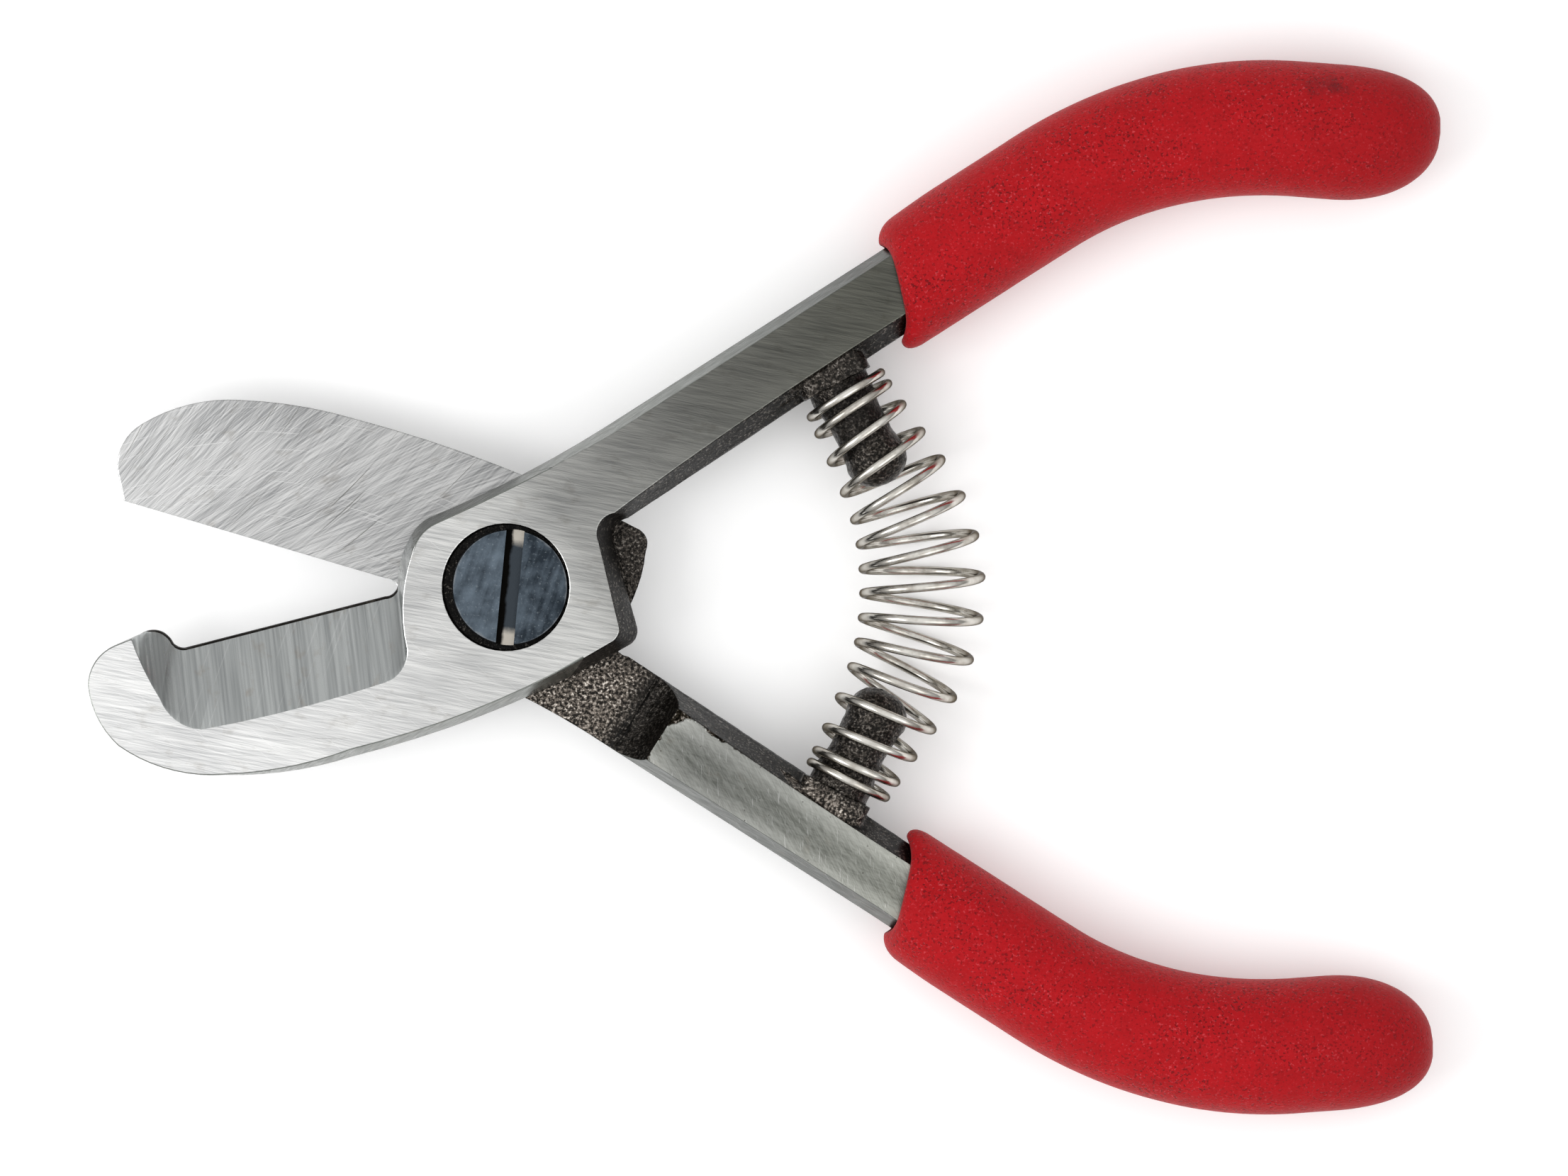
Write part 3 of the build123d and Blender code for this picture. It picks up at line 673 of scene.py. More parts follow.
@dataclass(frozen=True)
class OiledSteel(Finish):
    """Turned or pressed mild steel hardware, oiled.

    It gives a grey sheen with fine turning rings and patches of dirt.
    """

    light: str = "#8F8F8A"
    dark: str = "#4B4A46"

    def shade(self, tree: Tree) -> Socket:
        """Turning marks and a little dirt."""
        at = self.place(tree)
        rings = add_node(tree, "CombineXYZ", self.radius(tree, at))
        marks = self.noise(tree, rings, (0.2, 1.0, 1.0))
        dirt_and_shade = self.noise(tree, at, 2.0, 4.0, 6.0)
        tone = self.weigh(tree, (marks, 0.5), (dirt_and_shade, 0.5))
        colour = self.coats(tree, self.dark, (add_node(tree, "MapRange", tone, 0.35, 0.65), self.light))
        rough = add_node(tree, "MapRange", dirt_and_shade, 0.3, 0.7, 0.3, 0.5)
        return self.surface(tree, colour, rough, marks, 0.01, Metallic=1.0)


@dataclass(frozen=True)
class PaleBench(Finish):
    """Cast acrylic sheet, matted and faintly lit from below, which keeps the shadows soft."""

    glow: float = 0.12

    def shade(self, tree: Tree) -> Socket:
        """Nearly plain white."""
        cloud = self.noise(tree, self.place(tree), 60.0)
        colour = self.coats(tree, "#FBFBFB", (cloud, "#FFFFFF"))
        glow = {"Emission_Color": linear("#FFFFFF"), "Emission_Strength": self.glow}
        return self.surface(tree, colour, 0.9, **glow)


# ---------------------------------------------------------------- levers


class Zone(Enum):
    """Where on a lever a finish lies; the value is its material slot."""

    FACE = 0
    SLIDE = 1
    HANDLE = 2
    BEVEL = 3
    STRIP = 4
    SCALE = 5
    WELL = 6
    EDGE = 7
    FLANK = 8


@dataclass
class Lever:
    """One forged lever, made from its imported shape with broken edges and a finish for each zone.

    Lengths are millimetres. U runs along the handle and V towards its outer side.
    """

    node: str
    body: str
    slot: str
    piece: str
    mirror: float  # 1 for the hook lever, -1 for the blade lever
    finishes: dict[Zone, Finish]
    edge_break: float = 0.14
    sliver: float = 0.1  # edges shorter than this are closed up before the corners are broken
    flat: float = 0.4  # faces are joined up to this angle, degrees
    sharp: float = 24.0  # degrees between faces that get a broken edge
    creases: tuple[float, float] = (48.0, 14.0)  # shading breaks here on forged and ground faces, degrees
    recess: tuple[float, float] = (7.5, 9.0)  # the blade lever's scale starts here along the handle and X
    well: tuple[float, float, float] = (-0.55, 0.0, 8.62)  # middle and radius of the head's recess
    well_rise: tuple[float, float] = (0.5, 5.7)  # its floor lies between these heights above the middle plane
    mouth: tuple[float, float] = (-31.0, -1.0)  # a point in the open mouth of the hook
    mouth_end: float = -13.0  # X where the bevels end
    cutting_edge: tuple[float, float, float] = (-48.3, -15.1, -8.8)  # X of its ends, and its lowest Y
    edge_height: float = 9.75
    edge_angle: float = 35.0  # the faces that meet along it turn by more than this, degrees
    land: float = 0.42  # width of the dulled land along it
    boss: float = 12.0  # U where the boss ends
    back_from: float = 20.0  # U from where the blade lever's outer face is its handle
    step: tuple[float, float] = (21.5, 28.5)  # the half-lap step lies between these U
    inner: tuple[float, float] = (10.0, 9.0)  # the inner flank starts at this U or this X
    lumps: tuple[tuple[Zone, float], ...] = ((Zone.SCALE, 0.22), (Zone.FLANK, 0.06))  # their depth
    lump_edge: float = 0.75  # length of the edges that carry them
    post_root: tuple[float, float] = (43.35, 27.3)
    post_angle: float = -62.5  # degrees
    post_reach: tuple[float, float, float] = (0.2, -6.5, 6.2)  # from its root, from its seat, and beside it
    post_depth: float = 4.7  # half the depth of its seat

    def zone(self, centre: Vector, normal: Vector) -> Zone:
        """Says which finish a face gets.

        Args:
            centre: The face's centre in millimetres.
            normal: The face's outward normal.

        Returns:
            The zone.
        """
        along, out = handle_axes(self.mirror)
        u = centre.dot(along)
        rise = (centre.z - MID_HEIGHT) * self.mirror
        facing = normal.z * self.mirror
        outward = normal.dot(out)
        a = math.radians(self.post_angle) * self.mirror
        post = Vector((math.cos(a), math.sin(a), 0))
        root = Vector((self.post_root[0], self.post_root[1] * self.mirror, MID_HEIGHT))
        reach = (centre - root).dot(post)
        beside = ((centre - root) - post * reach).length
        near, seat, wide = self.post_reach
        if beside < wide and (reach > near or (reach > seat and abs(rise) < self.post_depth)):
            return Zone.SCALE
        x, y, radius = self.well
        low, high = self.well_rise
        if math.hypot(centre.x - x, centre.y - y) < radius and (abs(facing) < 0.6 or low < rise < high):
            return Zone.WELL
        if abs(facing) > 0.97:
            if abs(rise) < 0.3:
                bare = self.mirror < 0 and (u > self.recess[0] or centre.x > self.recess[1])
                return Zone.SCALE if bare else Zone.SLIDE
            if rise < 0 or (self.mirror < 0 and u > self.back_from):
                return Zone.HANDLE
            return Zone.FACE
        to_mouth = Vector((self.mouth[0], self.mouth[1] * self.mirror, centre.z)) - centre
        if centre.x < self.mouth_end and to_mouth.dot(normal) > 0:
            return Zone.BEVEL
        if self.step[0] < u < self.step[1] and rise < -0.3 and abs(outward) < 0.6:
            return Zone.SCALE
        if outward < 0.3 and (u > self.inner[0] or centre.x > self.inner[1]):
            return Zone.FLANK
        return Zone.STRIP

    @staticmethod
    def bevel(plain: bmesh.types.BMesh, edges: list[bmesh.types.BMEdge], width: float, slot: int) -> None:
        """Rounds edges.

        Args:
            plain: The lever's mesh.
            edges: The edges to round.
            width: Width of the rounding.
            slot: Material slot of the new faces, or -1 to take their neighbours'.
        """
        bmesh.ops.bevel(
            plain,
            geom=edges,
            offset=width * MM,
            segments=2,
            profile=0.5,
            affect="EDGES",
            clamp_overlap=False,
            material=slot,
        )

    def on_rim(self, edge: bmesh.types.BMEdge) -> bool:
        """Says whether an edge is on the rim of the jaw and boss.

        Args:
            edge: An edge of the lever's mesh.

        Returns:
            True between the front face and its flank.
        """
        zones = {face.material_index for face in edge.link_faces}
        middle = (edge.verts[0].co + edge.verts[1].co) / (2 * MM)
        along, _ = handle_axes(self.mirror)
        return zones == {Zone.FACE.value, Zone.STRIP.value} and middle.dot(along) < self.boss

    def shaded_cutting_land(self, plain: bmesh.types.BMesh) -> None:
        """Puts a narrow land along the hook's edge, from its lip to the boss; its dark finish is painted
        shade of the steep land, partly a burr.

        Args:
            plain: The lever's mesh.
        """
        lip, heel, low = self.cutting_edge
        edges = []
        for edge in plain.edges:
            ends = [vert.co / MM for vert in edge.verts]
            level = all(abs(end.z - self.edge_height) < 0.03 for end in ends)
            inside = all(lip < end.x < heel and end.y > low for end in ends)
            if level and inside and edge.calc_face_angle(0.0) > math.radians(self.edge_angle):
                edges.append(edge)
        self.bevel(plain, edges, self.land, Zone.EDGE.value)

    def hammer(self, plain: bmesh.types.BMesh) -> None:
        """Divides the forged faces finely and sinks them unevenly, never outwards.

        Args:
            plain: The lever's mesh.
        """
        depths = {zone.value: depth for zone, depth in self.lumps}
        for _ in range(9):
            sided = [f for f in plain.faces if f.material_index in depths and len(f.verts) > 3]
            bmesh.ops.triangulate(plain, faces=sided)
            long = [
                edge
                for edge in plain.edges
                if edge.calc_length() > self.lump_edge * MM
                and any(face.material_index in depths for face in edge.link_faces)
            ]
            if not long:
                break
            bmesh.ops.subdivide_edges(plain, edges=long, cuts=1)
        bmesh.ops.triangulate(plain, faces=[face for face in plain.faces if len(face.verts) > 4])
        plain.normal_update()
        moves = {}
        for vert in plain.verts:
            zones = {face.material_index for face in vert.link_faces}
            if zones <= depths.keys():
                spot = vert.co / MM
                wave = noise.noise(spot * 0.45) * 0.7 + noise.noise(spot * 1.1 + Vector((9, 9, 9))) * 0.6
                depth = min(depths[zone] for zone in zones)
                moves[vert] = vert.normal * (-depth * MM * min(max(0.5 + wave, 0.0), 1.0))
        for vert, move in moves.items():
            vert.co += move
        plain.normal_update()

    def mark_sharp(self, plain: bmesh.types.BMesh) -> None:
        """Keeps the shading break on real corners and lets the lumps blend.

        Args:
            plain: The lever's mesh.
        """
        lumpy = {zone.value for zone, _ in self.lumps}
        on_forged, on_ground = (math.radians(angle) for angle in self.creases)
        for edge in plain.edges:
            forged = all(face.material_index in lumpy for face in edge.link_faces)
            edge.smooth = edge.calc_face_angle(0.0) < (on_forged if forged else on_ground)

    def clean_copy(self) -> bmesh.types.BMesh:
        """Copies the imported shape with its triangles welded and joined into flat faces.

        Returns:
            The mesh, cut where the blade lever's scale begins.
        """
        mesh = bmesh.new()
        mesh.from_mesh(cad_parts[self.node].data)
        plain = bmesh.new()
        table = [plain.verts.new(vert.co) for vert in mesh.verts]
        for face in mesh.faces:
            plain.faces.new([table[vert.index] for vert in face.verts])
        mesh.free()
        bmesh.ops.remove_doubles(plain, verts=plain.verts, dist=0.001 * MM)
        bmesh.ops.dissolve_degenerate(plain, dist=self.sliver * MM, edges=plain.edges)
        bmesh.ops.dissolve_limit(
            plain,
            angle_limit=math.radians(self.flat),
            verts=plain.verts,
            edges=plain.edges,
            use_dissolve_boundaries=False,
        )
        bmesh.ops.dissolve_degenerate(plain, dist=self.sliver * MM, edges=plain.edges)
        if self.mirror < 0:
            along, _ = handle_axes(self.mirror)
            for direction, reach in zip((along, Vector((1, 0, 0))), self.recess):
                everything = plain.verts[:] + plain.edges[:] + plain.faces[:]
                cut = {"plane_co": direction * reach * MM, "plane_no": direction}
                bmesh.ops.bisect_plane(plain, geom=everything, **cut)
        plain.normal_update()
        return plain

    def is_corner(self, edge: bmesh.types.BMEdge) -> bool:
        """Says whether an edge gets broken.

        Args:
            edge: An edge of the lever's mesh.

        Returns:
            True on a sharp edge that no face of the dulled land meets.
        """
        if len(edge.link_faces) != 2 or edge.calc_face_angle(0.0) <= math.radians(self.sharp):
            return False
        around = (face for vert in edge.verts for face in vert.link_faces)
        return all(face.material_index != Zone.EDGE.value for face in around)

    def build(self) -> bpy.types.Object:
        """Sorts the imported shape's faces into zones, breaks its edges and hammers its scale.

        Returns:
            The lever.
        """
        plain = self.clean_copy()
        for face in plain.faces:
            face.material_index = self.zone(face.calc_center_median() / MM, face.normal).value
        if self.mirror > 0:
            self.shaded_cutting_land(plain)
        corners = [edge for edge in plain.edges if self.is_corner(edge)]
        self.bevel(plain, [edge for edge in corners if not self.on_rim(edge)], self.edge_break, -1)
        rim = [edge for edge in plain.edges if self.on_rim(edge)]
        self.bevel(plain, rim, self.edge_break, Zone.STRIP.value)
        self.hammer(plain)
        self.mark_sharp(plain)
        data = bpy.data.meshes.new(self.piece)
        plain.to_mesh(data)
        plain.free()
        data.shade_smooth()
        lever = place_in_scene(self.piece, data)
        for zone in Zone:
            data.materials.append(self.finishes[zone].material())
        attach(lever, self.body)
        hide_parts(self.node)
        return lever


# ---------------------------------------------------------------- return spring


@dataclass
class ReturnSpring:
    """Barrel-shaped coil spring on a bowed axis, from post to post. Lengths are millimetres."""

    wire: float = 1.2
    turns: float = 14.5
    start: tuple[float, float] = (44.45, 25.95)  # the axis leaves the hook lever's post here
    angle: float = -61.0  # degrees, its heading there
    straight: float = 13.5  # straight run of the axis at either end
    settle: float = 0.3  # the far end sits this much further out
    end_radius: float = 5.5
    mid_radius: float = 7.86
    end_pitch: float = 0.3  # of the end coils, as a share of the open ones
    ramp: float = 2.5  # turns over which the coils open
    per_turn: int = 72
    sides: int = 14
    tip_set: float = 0.3  # the wire's ends stop this much short
    tip: tuple[tuple[float, float], ...] = ((-0.30, 0.35), (-0.24, 0.75), (-0.12, 0.94))  # shift, size

    def axis(self, s: float, radius: float, bend: float) -> tuple[float, float, float]:
        """A point on the bowed axis.

        Args:
            s: Distance from the first coil, mm.
            radius: Radius of the bend, mm.
            bend: Half of the angle that the axis turns through.

        Returns:
            X and Y in millimetres, and the heading.
        """
        half = self.straight + radius * bend
        far = s > half
        along = 2 * half - s if far else s
        a = math.radians(self.angle)
        run = min(along, self.straight)
        heading = a - max(0.0, along - self.straight) / radius
        x = self.start[0] + run * math.cos(a) - radius * (math.sin(heading) - math.sin(a))
        y = self.start[1] + run * math.sin(a) + radius * (math.cos(heading) - math.cos(a))
        return (x, -y, -math.pi - heading) if far else (x, y, heading)

    def centreline(self) -> tuple[np.ndarray, np.ndarray]:
        """Winds the wire's middle line.

        Returns:
            Its points, and for each the share of the spring's closing-up that it takes part in.
        """
        a = math.radians(self.angle)
        bend = math.pi / 2 + a
        radius = (self.start[1] + self.straight * math.sin(a)) / math.cos(a)
        length = 2 * (self.straight + radius * bend)
        count = round(self.turns * self.per_turn)
        steps = []
        for i in range(count):
            turn = (i + 0.5) / self.per_turn
            opening = smooth(min(turn, self.turns - turn) / self.ramp)
            steps.append(self.end_pitch + (1 - self.end_pitch) * opening)
        reach = np.concatenate([[0.0], np.cumsum(steps)])
        reach *= length / reach[-1]
        room = np.maximum(np.diff(reach) * self.per_turn - self.wire * 1.06, 0.0)
        close = np.concatenate([[0.0], np.cumsum(room)])
        points = []
        for i in range(count + 1):
            x, y, heading = self.axis(reach[i], radius, bend)
            x += self.settle * reach[i] / length
            coil = self.end_radius + (self.mid_radius - self.end_radius) * math.sin(math.pi * i / count) ** 2
            phase = 2 * math.pi * i / self.per_turn
            side, rise = coil * math.cos(phase), coil * math.sin(phase)
            points.append((x - side * math.sin(heading), y + side * math.cos(heading), MID_HEIGHT + rise))
        return np.array(points), close / close[-1]

    def build(self) -> bpy.types.Object:
        """Sweeps the wire, rounds its ends and lets it close up between the two levers.

        Returns:
            The spring.
        """
        line, share = self.centreline()
        tangents = np.gradient(line, axis=0)
        tangents /= np.linalg.norm(tangents, axis=1)[:, None]
        normal = np.cross(tangents[0], (0.0, 0.0, 1.0))
        normal /= np.linalg.norm(normal)
        radius = self.wire / 2 * 0.995
        rings, weights = [], []
        turned = [normal]
        for i in range(1, len(line)):
            normal = turned[-1] - tangents[i] * np.dot(turned[-1], tangents[i])
            turned.append(normal / np.linalg.norm(normal))
        lead = [(0, back, size) for back, size in self.tip]
        tail = [(len(line) - 1, -back, size) for back, size in reversed(self.tip)]
        spots = lead + [(i, 0.0, 1.0) for i in range(len(line))] + tail
        first, last = line[0] + tangents[0] * self.tip_set, line[-1] - tangents[-1] * self.tip_set
        for i, shift, size in spots:
            middle = line[i] + tangents[i] * shift
            if i == 0:
                middle = first + tangents[0] * (shift if size < 1 else 0.0)
            if i == len(line) - 1:
                middle = last + tangents[-1] * (shift if size < 1 else 0.0)
            across = np.cross(tangents[i], turned[i])
            turn = np.linspace(0, 2 * math.pi, self.sides, endpoint=False)
            around = np.cos(turn)[:, None] * turned[i] + np.sin(turn)[:, None] * across
            rings.append(middle + radius * size * around)
            weights.extend([share[i]] * self.sides)
        vertices = np.concatenate(rings) * MM
        faces = tube_faces(len(rings), self.sides)
        faces.append(tuple(reversed(range(self.sides))))
        faces.append(tuple(range((len(rings) - 1) * self.sides, len(rings) * self.sides)))
        data = bpy.data.meshes.new("coil_spring")
        data.from_pydata(vertices.tolist(), [], faces)
        data.shade_smooth()
        data.materials.append(SpringWire("drawn_spring_wire").material())
        spring = place_in_scene("coil_spring", data)
        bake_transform(spring, "hook_side", "blade_side", start=tuple(line[0] * MM), end=tuple(line[-1] * MM))
        data.attributes["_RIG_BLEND"].data.foreach_set("value", np.array(weights, np.float32))
        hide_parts("return_spring")
        return spring


# ---------------------------------------------------------------- sleeves


@dataclass
class Sleeve:
    """Foam sleeve on a handle: a slanted soft mouth, a bent oval barrel and a blunt domed end.

    Lengths are millimetres. U runs along the handle and V towards its outer side.
    """

    node: str
    body: str
    piece: str
    mirror: float  # 1 on the hook lever, -1 on the blade lever
    tail: float = 19.1  # straight run from the bend to the end
    mouth_u: float = 63.7
    skew: float = 20.0  # slant of the mouth, degrees
    straight: float = 24.3  # from the mouth to the bend
    bend_radius: float = 55.0
    bend: float = 37.0  # degrees
    centre_v: float = 6.1
    mouth_drop: float = 0.4  # the mouth lies this far towards the inner side
    mouth_swell: float = 13.0  # length over which the mouth opens to the straight part
    half_width: tuple[float, float, float] = (8.0, 8.4, 9.05)  # at the mouth, straight part and hand
    half_depth: tuple[float, float] = (7.4, 8.38)  # at the mouth and beyond it
    swell: tuple[float, float] = (20.0, 56.0)  # stretch over which the straight part widens
    dome: float = 14.2  # length over which the end closes
    roundness: float = 2.3  # exponent of the dome's outline; 2 is an ellipse
    nose_lift: float = 0.9  # the dome's tip lies this far towards the outer side
    wall: float = 2.2
    mouth_set: float = 1.4  # front and back of the rim stand back from its two sides
    set_run: float = 12.0  # length over which they catch up
    skew_run: float = 26.0  # length over which the slant dies out
    rim_end: float = 2.4  # the rim's roll reaches this far
    rounds: int = 150
    stations: int = 230
    lumps: float = 0.07  # unevenness, always inwards
    seed: float = 0.0

    @property
    def length(self) -> float:
        """Length of the sleeve along its middle."""
        return self.straight + math.radians(self.bend) * self.bend_radius + self.tail

    def middle(self, s: float, lift: float) -> tuple[float, float, float]:
        """The sleeve's middle at a distance past its mouth.

        Args:
            s: Distance along the middle line.
            lift: Sideways shift towards the outer side.

        Returns:
            U and V in the handle's frame, and the angle turned.
        """
        bend = math.radians(self.bend)
        if s < self.straight:
            return self.mouth_u + s, self.centre_v + lift, 0.0
        turned = min((s - self.straight) / self.bend_radius, bend)
        reach = self.bend_radius + lift
        u = self.mouth_u + self.straight + reach * math.sin(turned)
        v = self.centre_v - self.bend_radius + reach * math.cos(turned)
        left = s - self.straight - self.bend_radius * bend
        if left > 0:
            u += left * math.cos(bend)
            v -= left * math.sin(bend)
        return u, v, turned

    def point(self, s: float, turn: float, shrink: float) -> Vector:
        """A point on or under the sleeve's skin.

        Args:
            s: Distance past the mouth.
            turn: Angle round the section, 0 on the outer side.
            shrink: How far under the skin.

        Returns:
            The point.
        """
        s = min(s, self.length)
        into = max(0.0, s - (self.length - self.dome)) / self.dome
        closing = max(0.0, 1 - into**self.roundness) ** (1 / self.roundness)
        pinch = max(0.0, 1 - max(s, 0.0) / self.mouth_swell) ** 2
        at_mouth, straight, full = self.half_width
        width = straight + (full - straight) * smooth((s - self.swell[0]) / (self.swell[1] - self.swell[0]))
        width -= (straight - at_mouth) * pinch
        depth = self.half_depth[1] - (self.half_depth[1] - self.half_depth[0]) * pinch
        u, v, turned = self.middle(s, self.nose_lift * into**2 - self.mouth_drop * pinch)
        wide = (width * closing - shrink) * math.cos(turn)
        high = (depth * closing - shrink) * math.sin(turn)
        u, v = u + wide * math.sin(turned), v + wide * math.cos(turned)
        along, out = handle_axes(self.mirror)
        spot = along * u + out * v
        spot.z = MID_HEIGHT + high
        return spot

    def profile(self) -> list[tuple[float, float]]:
        """Draws the skin's outline, from inside the mouth to the dome.

        Returns:
            Distances past the mouth and depths under the skin.
        """
        w = self.wall
        bore = [(3.5, 5.5), (3.4, w + 0.3), (2.6, w), (1.0, w)]
        lip = [(0.4, w - 0.04), (0.12, w - 0.14), (0.01, w - 0.32), (0.0, w - 0.5)]
        roll = [(0.03, 1.5), (0.14, 1.2), (0.34, 0.9), (0.66, 0.6), (1.1, 0.35), (1.7, 0.15)]
        roll.append((self.rim_end, 0.04))
        first = self.rim_end + 0.4
        barrel = []
        for i in range(1, self.stations):
            t = i / self.stations
            share = math.sin(t * math.pi / 2) * 0.35 + t * 0.65  # rows lie closer towards the dome
            barrel.append((first + (self.length - first) * share, 0.0))
        return bore + lip + roll + barrel

    def unevenness(self, spot: Vector) -> float:
        """How far the skin sinks at a point, in waves of about 6, 1.7 and 0.6 mm."""
        place = spot + Vector((self.seed,) * 3)
        waves = ((0.16, 0.6), (0.6, 0.3), (1.7, 0.25))
        rough = sum(weight * noise.noise(place * scale) for scale, weight in waves)
        return self.lumps * (0.5 + 0.5 * max(-1.0, min(1.0, rough)))

    def build(self) -> bpy.types.Object:
        """Makes the skin, with soft unevenness, as one closed mesh.

        Returns:
            The sleeve.
        """
        slant = math.tan(math.radians(self.skew))
        vertices: list[Vector] = []
        rows = self.profile()
        for s, shrink in rows:
            for k in range(self.rounds):
                turn = 2 * math.pi * k / self.rounds
                tilt = slant * (self.half_width[0] - shrink) * math.cos(turn)
                leaned = s + tilt * max(0.0, 1 - s / self.skew_run)
                set_back = (1 - abs(math.cos(turn)) ** 5) * max(0.0, 1 - s / self.set_run) ** 2
                leaned += self.mouth_set * set_back
                spot = self.point(leaned, turn, shrink)
                if shrink == 0.0:
                    outward = (spot - self.point(leaned, turn, 1.0)).normalized()
                    fade = min(1.0, s / 4) * min(1.0, (self.length - s) / 3)  # none at the mouth and the tip
                    spot -= outward * fade * self.unevenness(spot)
                vertices.append(spot * MM)
        faces = tube_faces(len(rows), self.rounds)
        vertices.append(self.point(self.length, 0.0, 0.0) * MM)
        last = (len(rows) - 1) * self.rounds
        faces += [(last + k, last + (k + 1) % self.rounds, len(vertices) - 1) for k in range(self.rounds)]
        faces.append(tuple(reversed(range(self.rounds))))
        data = bpy.data.meshes.new(self.piece)
        data.from_pydata(vertices, [], faces)
        cleaned = bmesh.new()
        cleaned.from_mesh(data)
        bmesh.ops.recalc_face_normals(cleaned, faces=cleaned.faces)
        cleaned.to_mesh(data)
        cleaned.free()
        data.shade_smooth()
        data.materials.append(FoamRubber("red_foam_rubber").material())
        sleeve = place_in_scene(self.piece, data)
        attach(sleeve, self.body)
        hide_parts(self.node)
        return sleeve


# ---------------------------------------------------------------- pivot hardware


@dataclass
class PivotHardware:
    """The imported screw, washers and nut, with broken edges and their finishes."""

    edge_break: float = 0.12  # mm
    sharp: float = 40.0  # degrees between faces that get a broken edge
    finishes: dict[str, Finish] = field(
        default_factory=lambda: {
            "pivot_screw": BluedSteel("blued_screw_steel"),
            "head_disc": OiledSteel("black_spring_disc", light="#2C2A27", dark="#12110F"),
            "back_washer": OiledSteel("oiled_washer_steel"),
            "lock_nut": OiledSteel("oiled_nut_steel", light="#A5A5A0", dark="#5E5C57"),
        }
    )

    def dress(self) -> list[bpy.types.Object]:
        """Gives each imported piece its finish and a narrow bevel.

        Returns:
            The pieces.
        """
        dressed = []
        for node, finish in self.finishes.items():
            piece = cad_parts[node]
            piece.data.materials.clear()
            piece.data.materials.append(finish.material())
            bevel = piece.modifiers.new("broken_edges", "BEVEL")
            bevel.width = self.edge_break * MM
            bevel.segments = 2
            bevel.limit_method = "ANGLE"
            bevel.angle_limit = math.radians(self.sharp)
            dressed.append(piece)
        return dressed


# ---------------------------------------------------------------- bench, light and camera


@dataclass
class Studio:
    """White bench, soft light from all round and the camera straight above."""

    view_width: float = 208.9  # mm across the picture at the height of the pivot
    centre: tuple[float, float] = (36.36, -0.1)  # what it looks at, mm
    height: float = 1.3  # m
    sensor: float = 36.0  # mm
    half_bench: float = 3.0  # m

    def bench(self) -> None:
        """Lays a white sheet under the snips."""
        data = bpy.data.meshes.new("bench_top")
        half = self.half_bench
        corners = [(-half, -half, 0), (half, -half, 0), (half, half, 0), (-half, half, 0)]
        data.from_pydata(corners, [], [(0, 1, 2, 3)])
        data.materials.append(PaleBench("white_bench").material())
        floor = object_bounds()[0].z - 0.1 * MM
        top = place_in_scene("bench_top", data)
        top.location.z = floor
        top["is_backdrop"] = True

    def light(self) -> None:
        """A white sky that darkens to the horizon, and large soft lamps."""
        world = bpy.data.worlds.new("studio_sky")
        world.use_nodes = True
        tree = world.node_tree
        tree.nodes.clear()
        up = add_node(tree, "SeparateXYZ", add_node(tree, "TexCoord", out="Generated"), out="Z")
        strength = add_node(tree, "MapRange", up, 0.0, 0.82, 0.25, 1.03)
        add_node(tree, "OutputWorld", add_node(tree, "Background", linear("#FFFFFF"), strength))
        bpy.context.scene.world = world
        self.lamp("key_light", (-0.75, -0.15, 0.75), 0.6, 4.0)
        self.lamp("fill_light", (0.55, -0.45, 0.8), 0.7, 1.5)

    def lamp(self, name: str, place: tuple[float, float, float], size: float, power: float) -> None:
        """One square lamp aimed at the middle of the snips.

        Args:
            name: The lamp's name.
            place: Where it hangs, m.
            size: Its side, m.
            power: Its power, W.
        """
        data = bpy.data.lights.new(name, "AREA")
        data.size, data.energy = size, power
        lamp = place_in_scene(name, data)
        lamp.location = place
        aim = Vector((self.centre[0] * MM, self.centre[1] * MM, 0)) - Vector(place)
        lamp.rotation_euler = aim.to_track_quat("-Z", "Y").to_euler()

    def camera(self) -> None:
        """Looks straight down, with X to the right and Y up."""
        data = bpy.data.cameras.new("camera")
        data.sensor_width = self.sensor
        data.lens = self.sensor * (self.height - MID_HEIGHT * MM) / (self.view_width * MM)
        data.clip_end = 20.0  # m
        seen = place_in_scene("camera", data)
        seen.location = (self.centre[0] * MM, self.centre[1] * MM, self.height)
        bpy.context.scene.camera = seen


# ---------------------------------------------------------------- assembly


def shared_finishes() -> dict[Zone, Finish]:
    """Makes the finishes that both levers have.

    Returns:
        The finish of each such zone.
    """
    return {
        # with painted shade by the blade lever's step
        Zone.SCALE: ForgedScale("forged_scale", step_shade=(20.0, 22.5, 29.0, 34.0)),
        Zone.FLANK: ForgedScale(
            "forged_flank", dark="#070605", light="#1F1C18", relief=0.04, glints=0.12, roughness=(0.34, 0.5)
        ),
        # near black: painted shadow in the screw head's recess
        Zone.WELL: ForgedScale("shadowed_well", dark="#070606", light="#171512", relief=0.03, glints=0.0),
        # dark: painted shade of the steep land along the cutting edge, partly a burr
        Zone.EDGE: GroundSteel(
            "shaded_cutting_land", light="#35322E", dark="#1B1917", angle=14.0, roughness=(0.45, 0.6),
            scratch=0.05,
        ),
    }


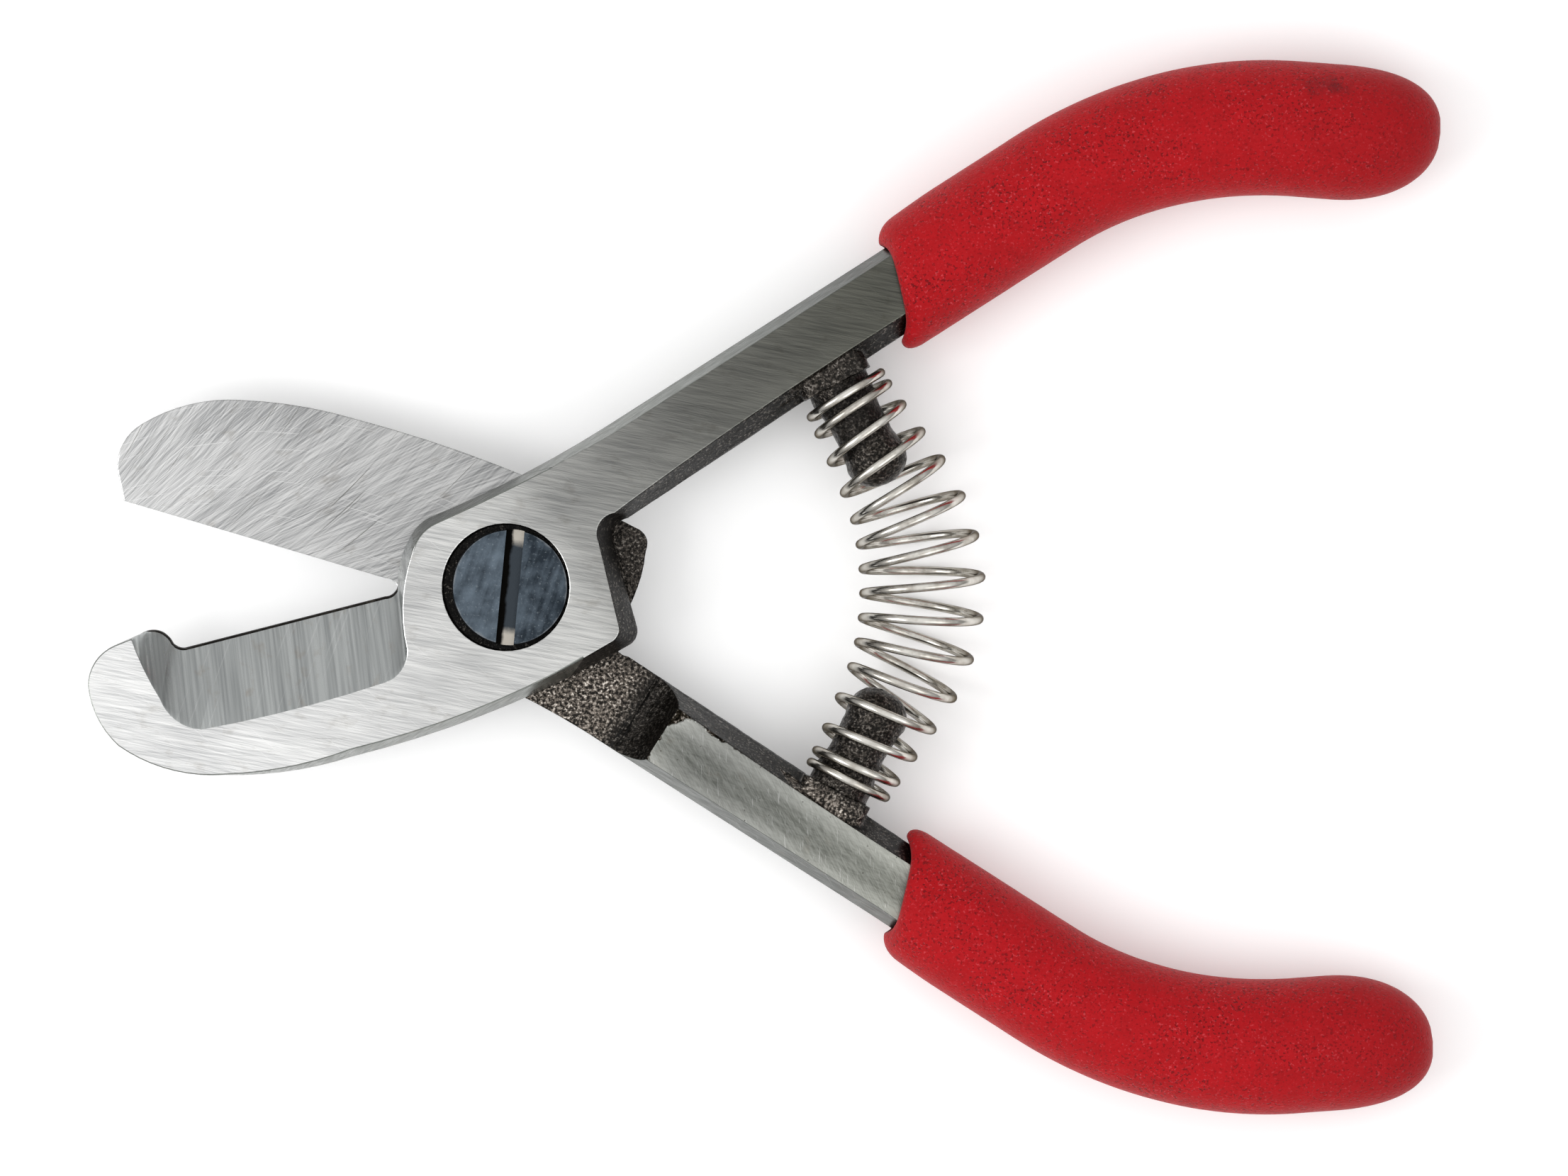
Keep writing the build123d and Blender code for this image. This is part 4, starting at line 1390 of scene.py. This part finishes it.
def hook_finishes() -> dict[Zone, Finish]:
    """Makes the hook lever's finishes.

    Returns:
        The finish of each zone.
    """
    # painted shade: the hook's face darkens from the jaw along the handle, where the light falls off
    jaw = ((-52, 0.95), (-37, 0.91), (-16, 0.7), (-5, 0.71), (5, 0.64))
    handle = ((11, 0.39), (24, 0.24), (37, 0.155), (62, 0.115))
    fade = PaintedShadeRamp(35.0, jaw + handle, sleeve_reflection=0.16)
    return shared_finishes() | {
        Zone.FACE: GroundSteel("ground_hook_face", angle=-14.0, fade=fade, edge_sheen=(1.0, 6.2, 3.4, 0.1)),
        Zone.SLIDE: GroundSteel("ground_hook_slide", angle=70.0),
        Zone.HANDLE: GroundSteel("ground_hook_back", light="#B9BBB5", dark="#85877F", angle=30.0, pits=0.3),
        Zone.BEVEL: GroundSteel(
            "ground_hook_bevel", light="#B0B3B2", dark="#8F9292", angle=98.0, spread=1.0, line=(18.0, 0.32),
            scratch=0.04, stain="#8A7A68", cloud=0.1, depth=0.001,
        ),
        # the strip also gets painted shade along the handle
        Zone.STRIP: GroundSteel(
            "ground_hook_strip", light="#7F827E", dark="#6C6F6B", angle=32.0, line=(3.0, 0.15), scratch=0.05,
            cloud=0.1, fade=PaintedShadeRamp(32.6, ((20, 1.0), (40, 0.85), (52, 0.62), (64, 0.5))),
        ),
    }


def blade_finishes() -> dict[Zone, Finish]:
    """Makes the blade lever's finishes.

    Returns:
        The finish of each zone.
    """
    # painted shade along the blade's face, and along its handle, darkest in the handle's middle
    fade = PaintedShadeRamp(0.0, ((-53, 0.88), (-45, 0.84), (-28, 0.7), (-12, 0.58), (20, 0.55)))
    handle = ((26, 0.95), (28, 0.75), (32, 0.5), (40, 0.52), (52, 0.72), (70, 0.72))
    handle_shade_ramp = PaintedShadeRamp(-32.6, handle, sleeve_reflection=0.05)
    return shared_finishes() | {
        Zone.FACE: GroundSteel("ground_blade_back", angle=20.0),
        Zone.SLIDE: GroundSteel(
            "ground_blade_face", dark="#A6A7A8", fan=(-82.9, -14.9), spread=14.0, line=(9.0, 0.11),
            scratch=0.4, fade=fade, coarse=0.4,
        ),
        Zone.HANDLE: GroundSteel(
            "ground_blade_handle", light="#A5A7A1", dark="#7C7E78", angle=-62.0, spread=40.0,
            line=(1.6, 0.16), roughness=(0.3, 0.46), pits=0.45, stain_share=0.06, scratch=0.15,
            edge_sheen=(-1.0, 6.2, 3.2, 0.26), cloud=0.22, fade=handle_shade_ramp,
            skin=ForgedScale("rolled_corner", dark="#0C0A07", light="#2E2922", glints=0.3),
        ),
        Zone.BEVEL: GroundSteel("ground_blade_bevel", angle=100.0),
        Zone.STRIP: GroundSteel(
            "ground_blade_strip", light="#5C5F5B", dark="#4D504C", angle=-32.0, line=(3.0, 0.15),
            scratch=0.05, cloud=0.1,
        ),
    }


def main() -> None:
    """Builds every piece in order, then the studio."""
    logging.basicConfig(level=logging.INFO, format="%(name)s: %(message)s")
    shorter = {"mouth_u": 64.5, "straight": 23.5, "tail": 18.1}
    parts = [
        Lever("hook_jaw_lever", "hook_side", "ground_steel", "hook_lever", 1.0, hook_finishes()),
        Lever("blade_jaw_lever", "blade_side", "forged_steel", "blade_lever", -1.0, blade_finishes()),
        ReturnSpring(),
        Sleeve("upper_grip", "hook_side", "upper_sleeve", 1.0),
        Sleeve("lower_grip", "blade_side", "lower_sleeve", -1.0, seed=40.0, **shorter),
    ]
    pieces = [part.build() for part in parts] + PivotHardware().dress()
    for piece in pieces:
        LOG.info("%s: %d vertices", piece.name, len(piece.data.vertices))
    studio = Studio()
    studio.bench()
    studio.light()
    studio.camera()
    bpy.context.scene.view_settings.view_transform = "Standard"


if __name__ == "__main__":
    main()
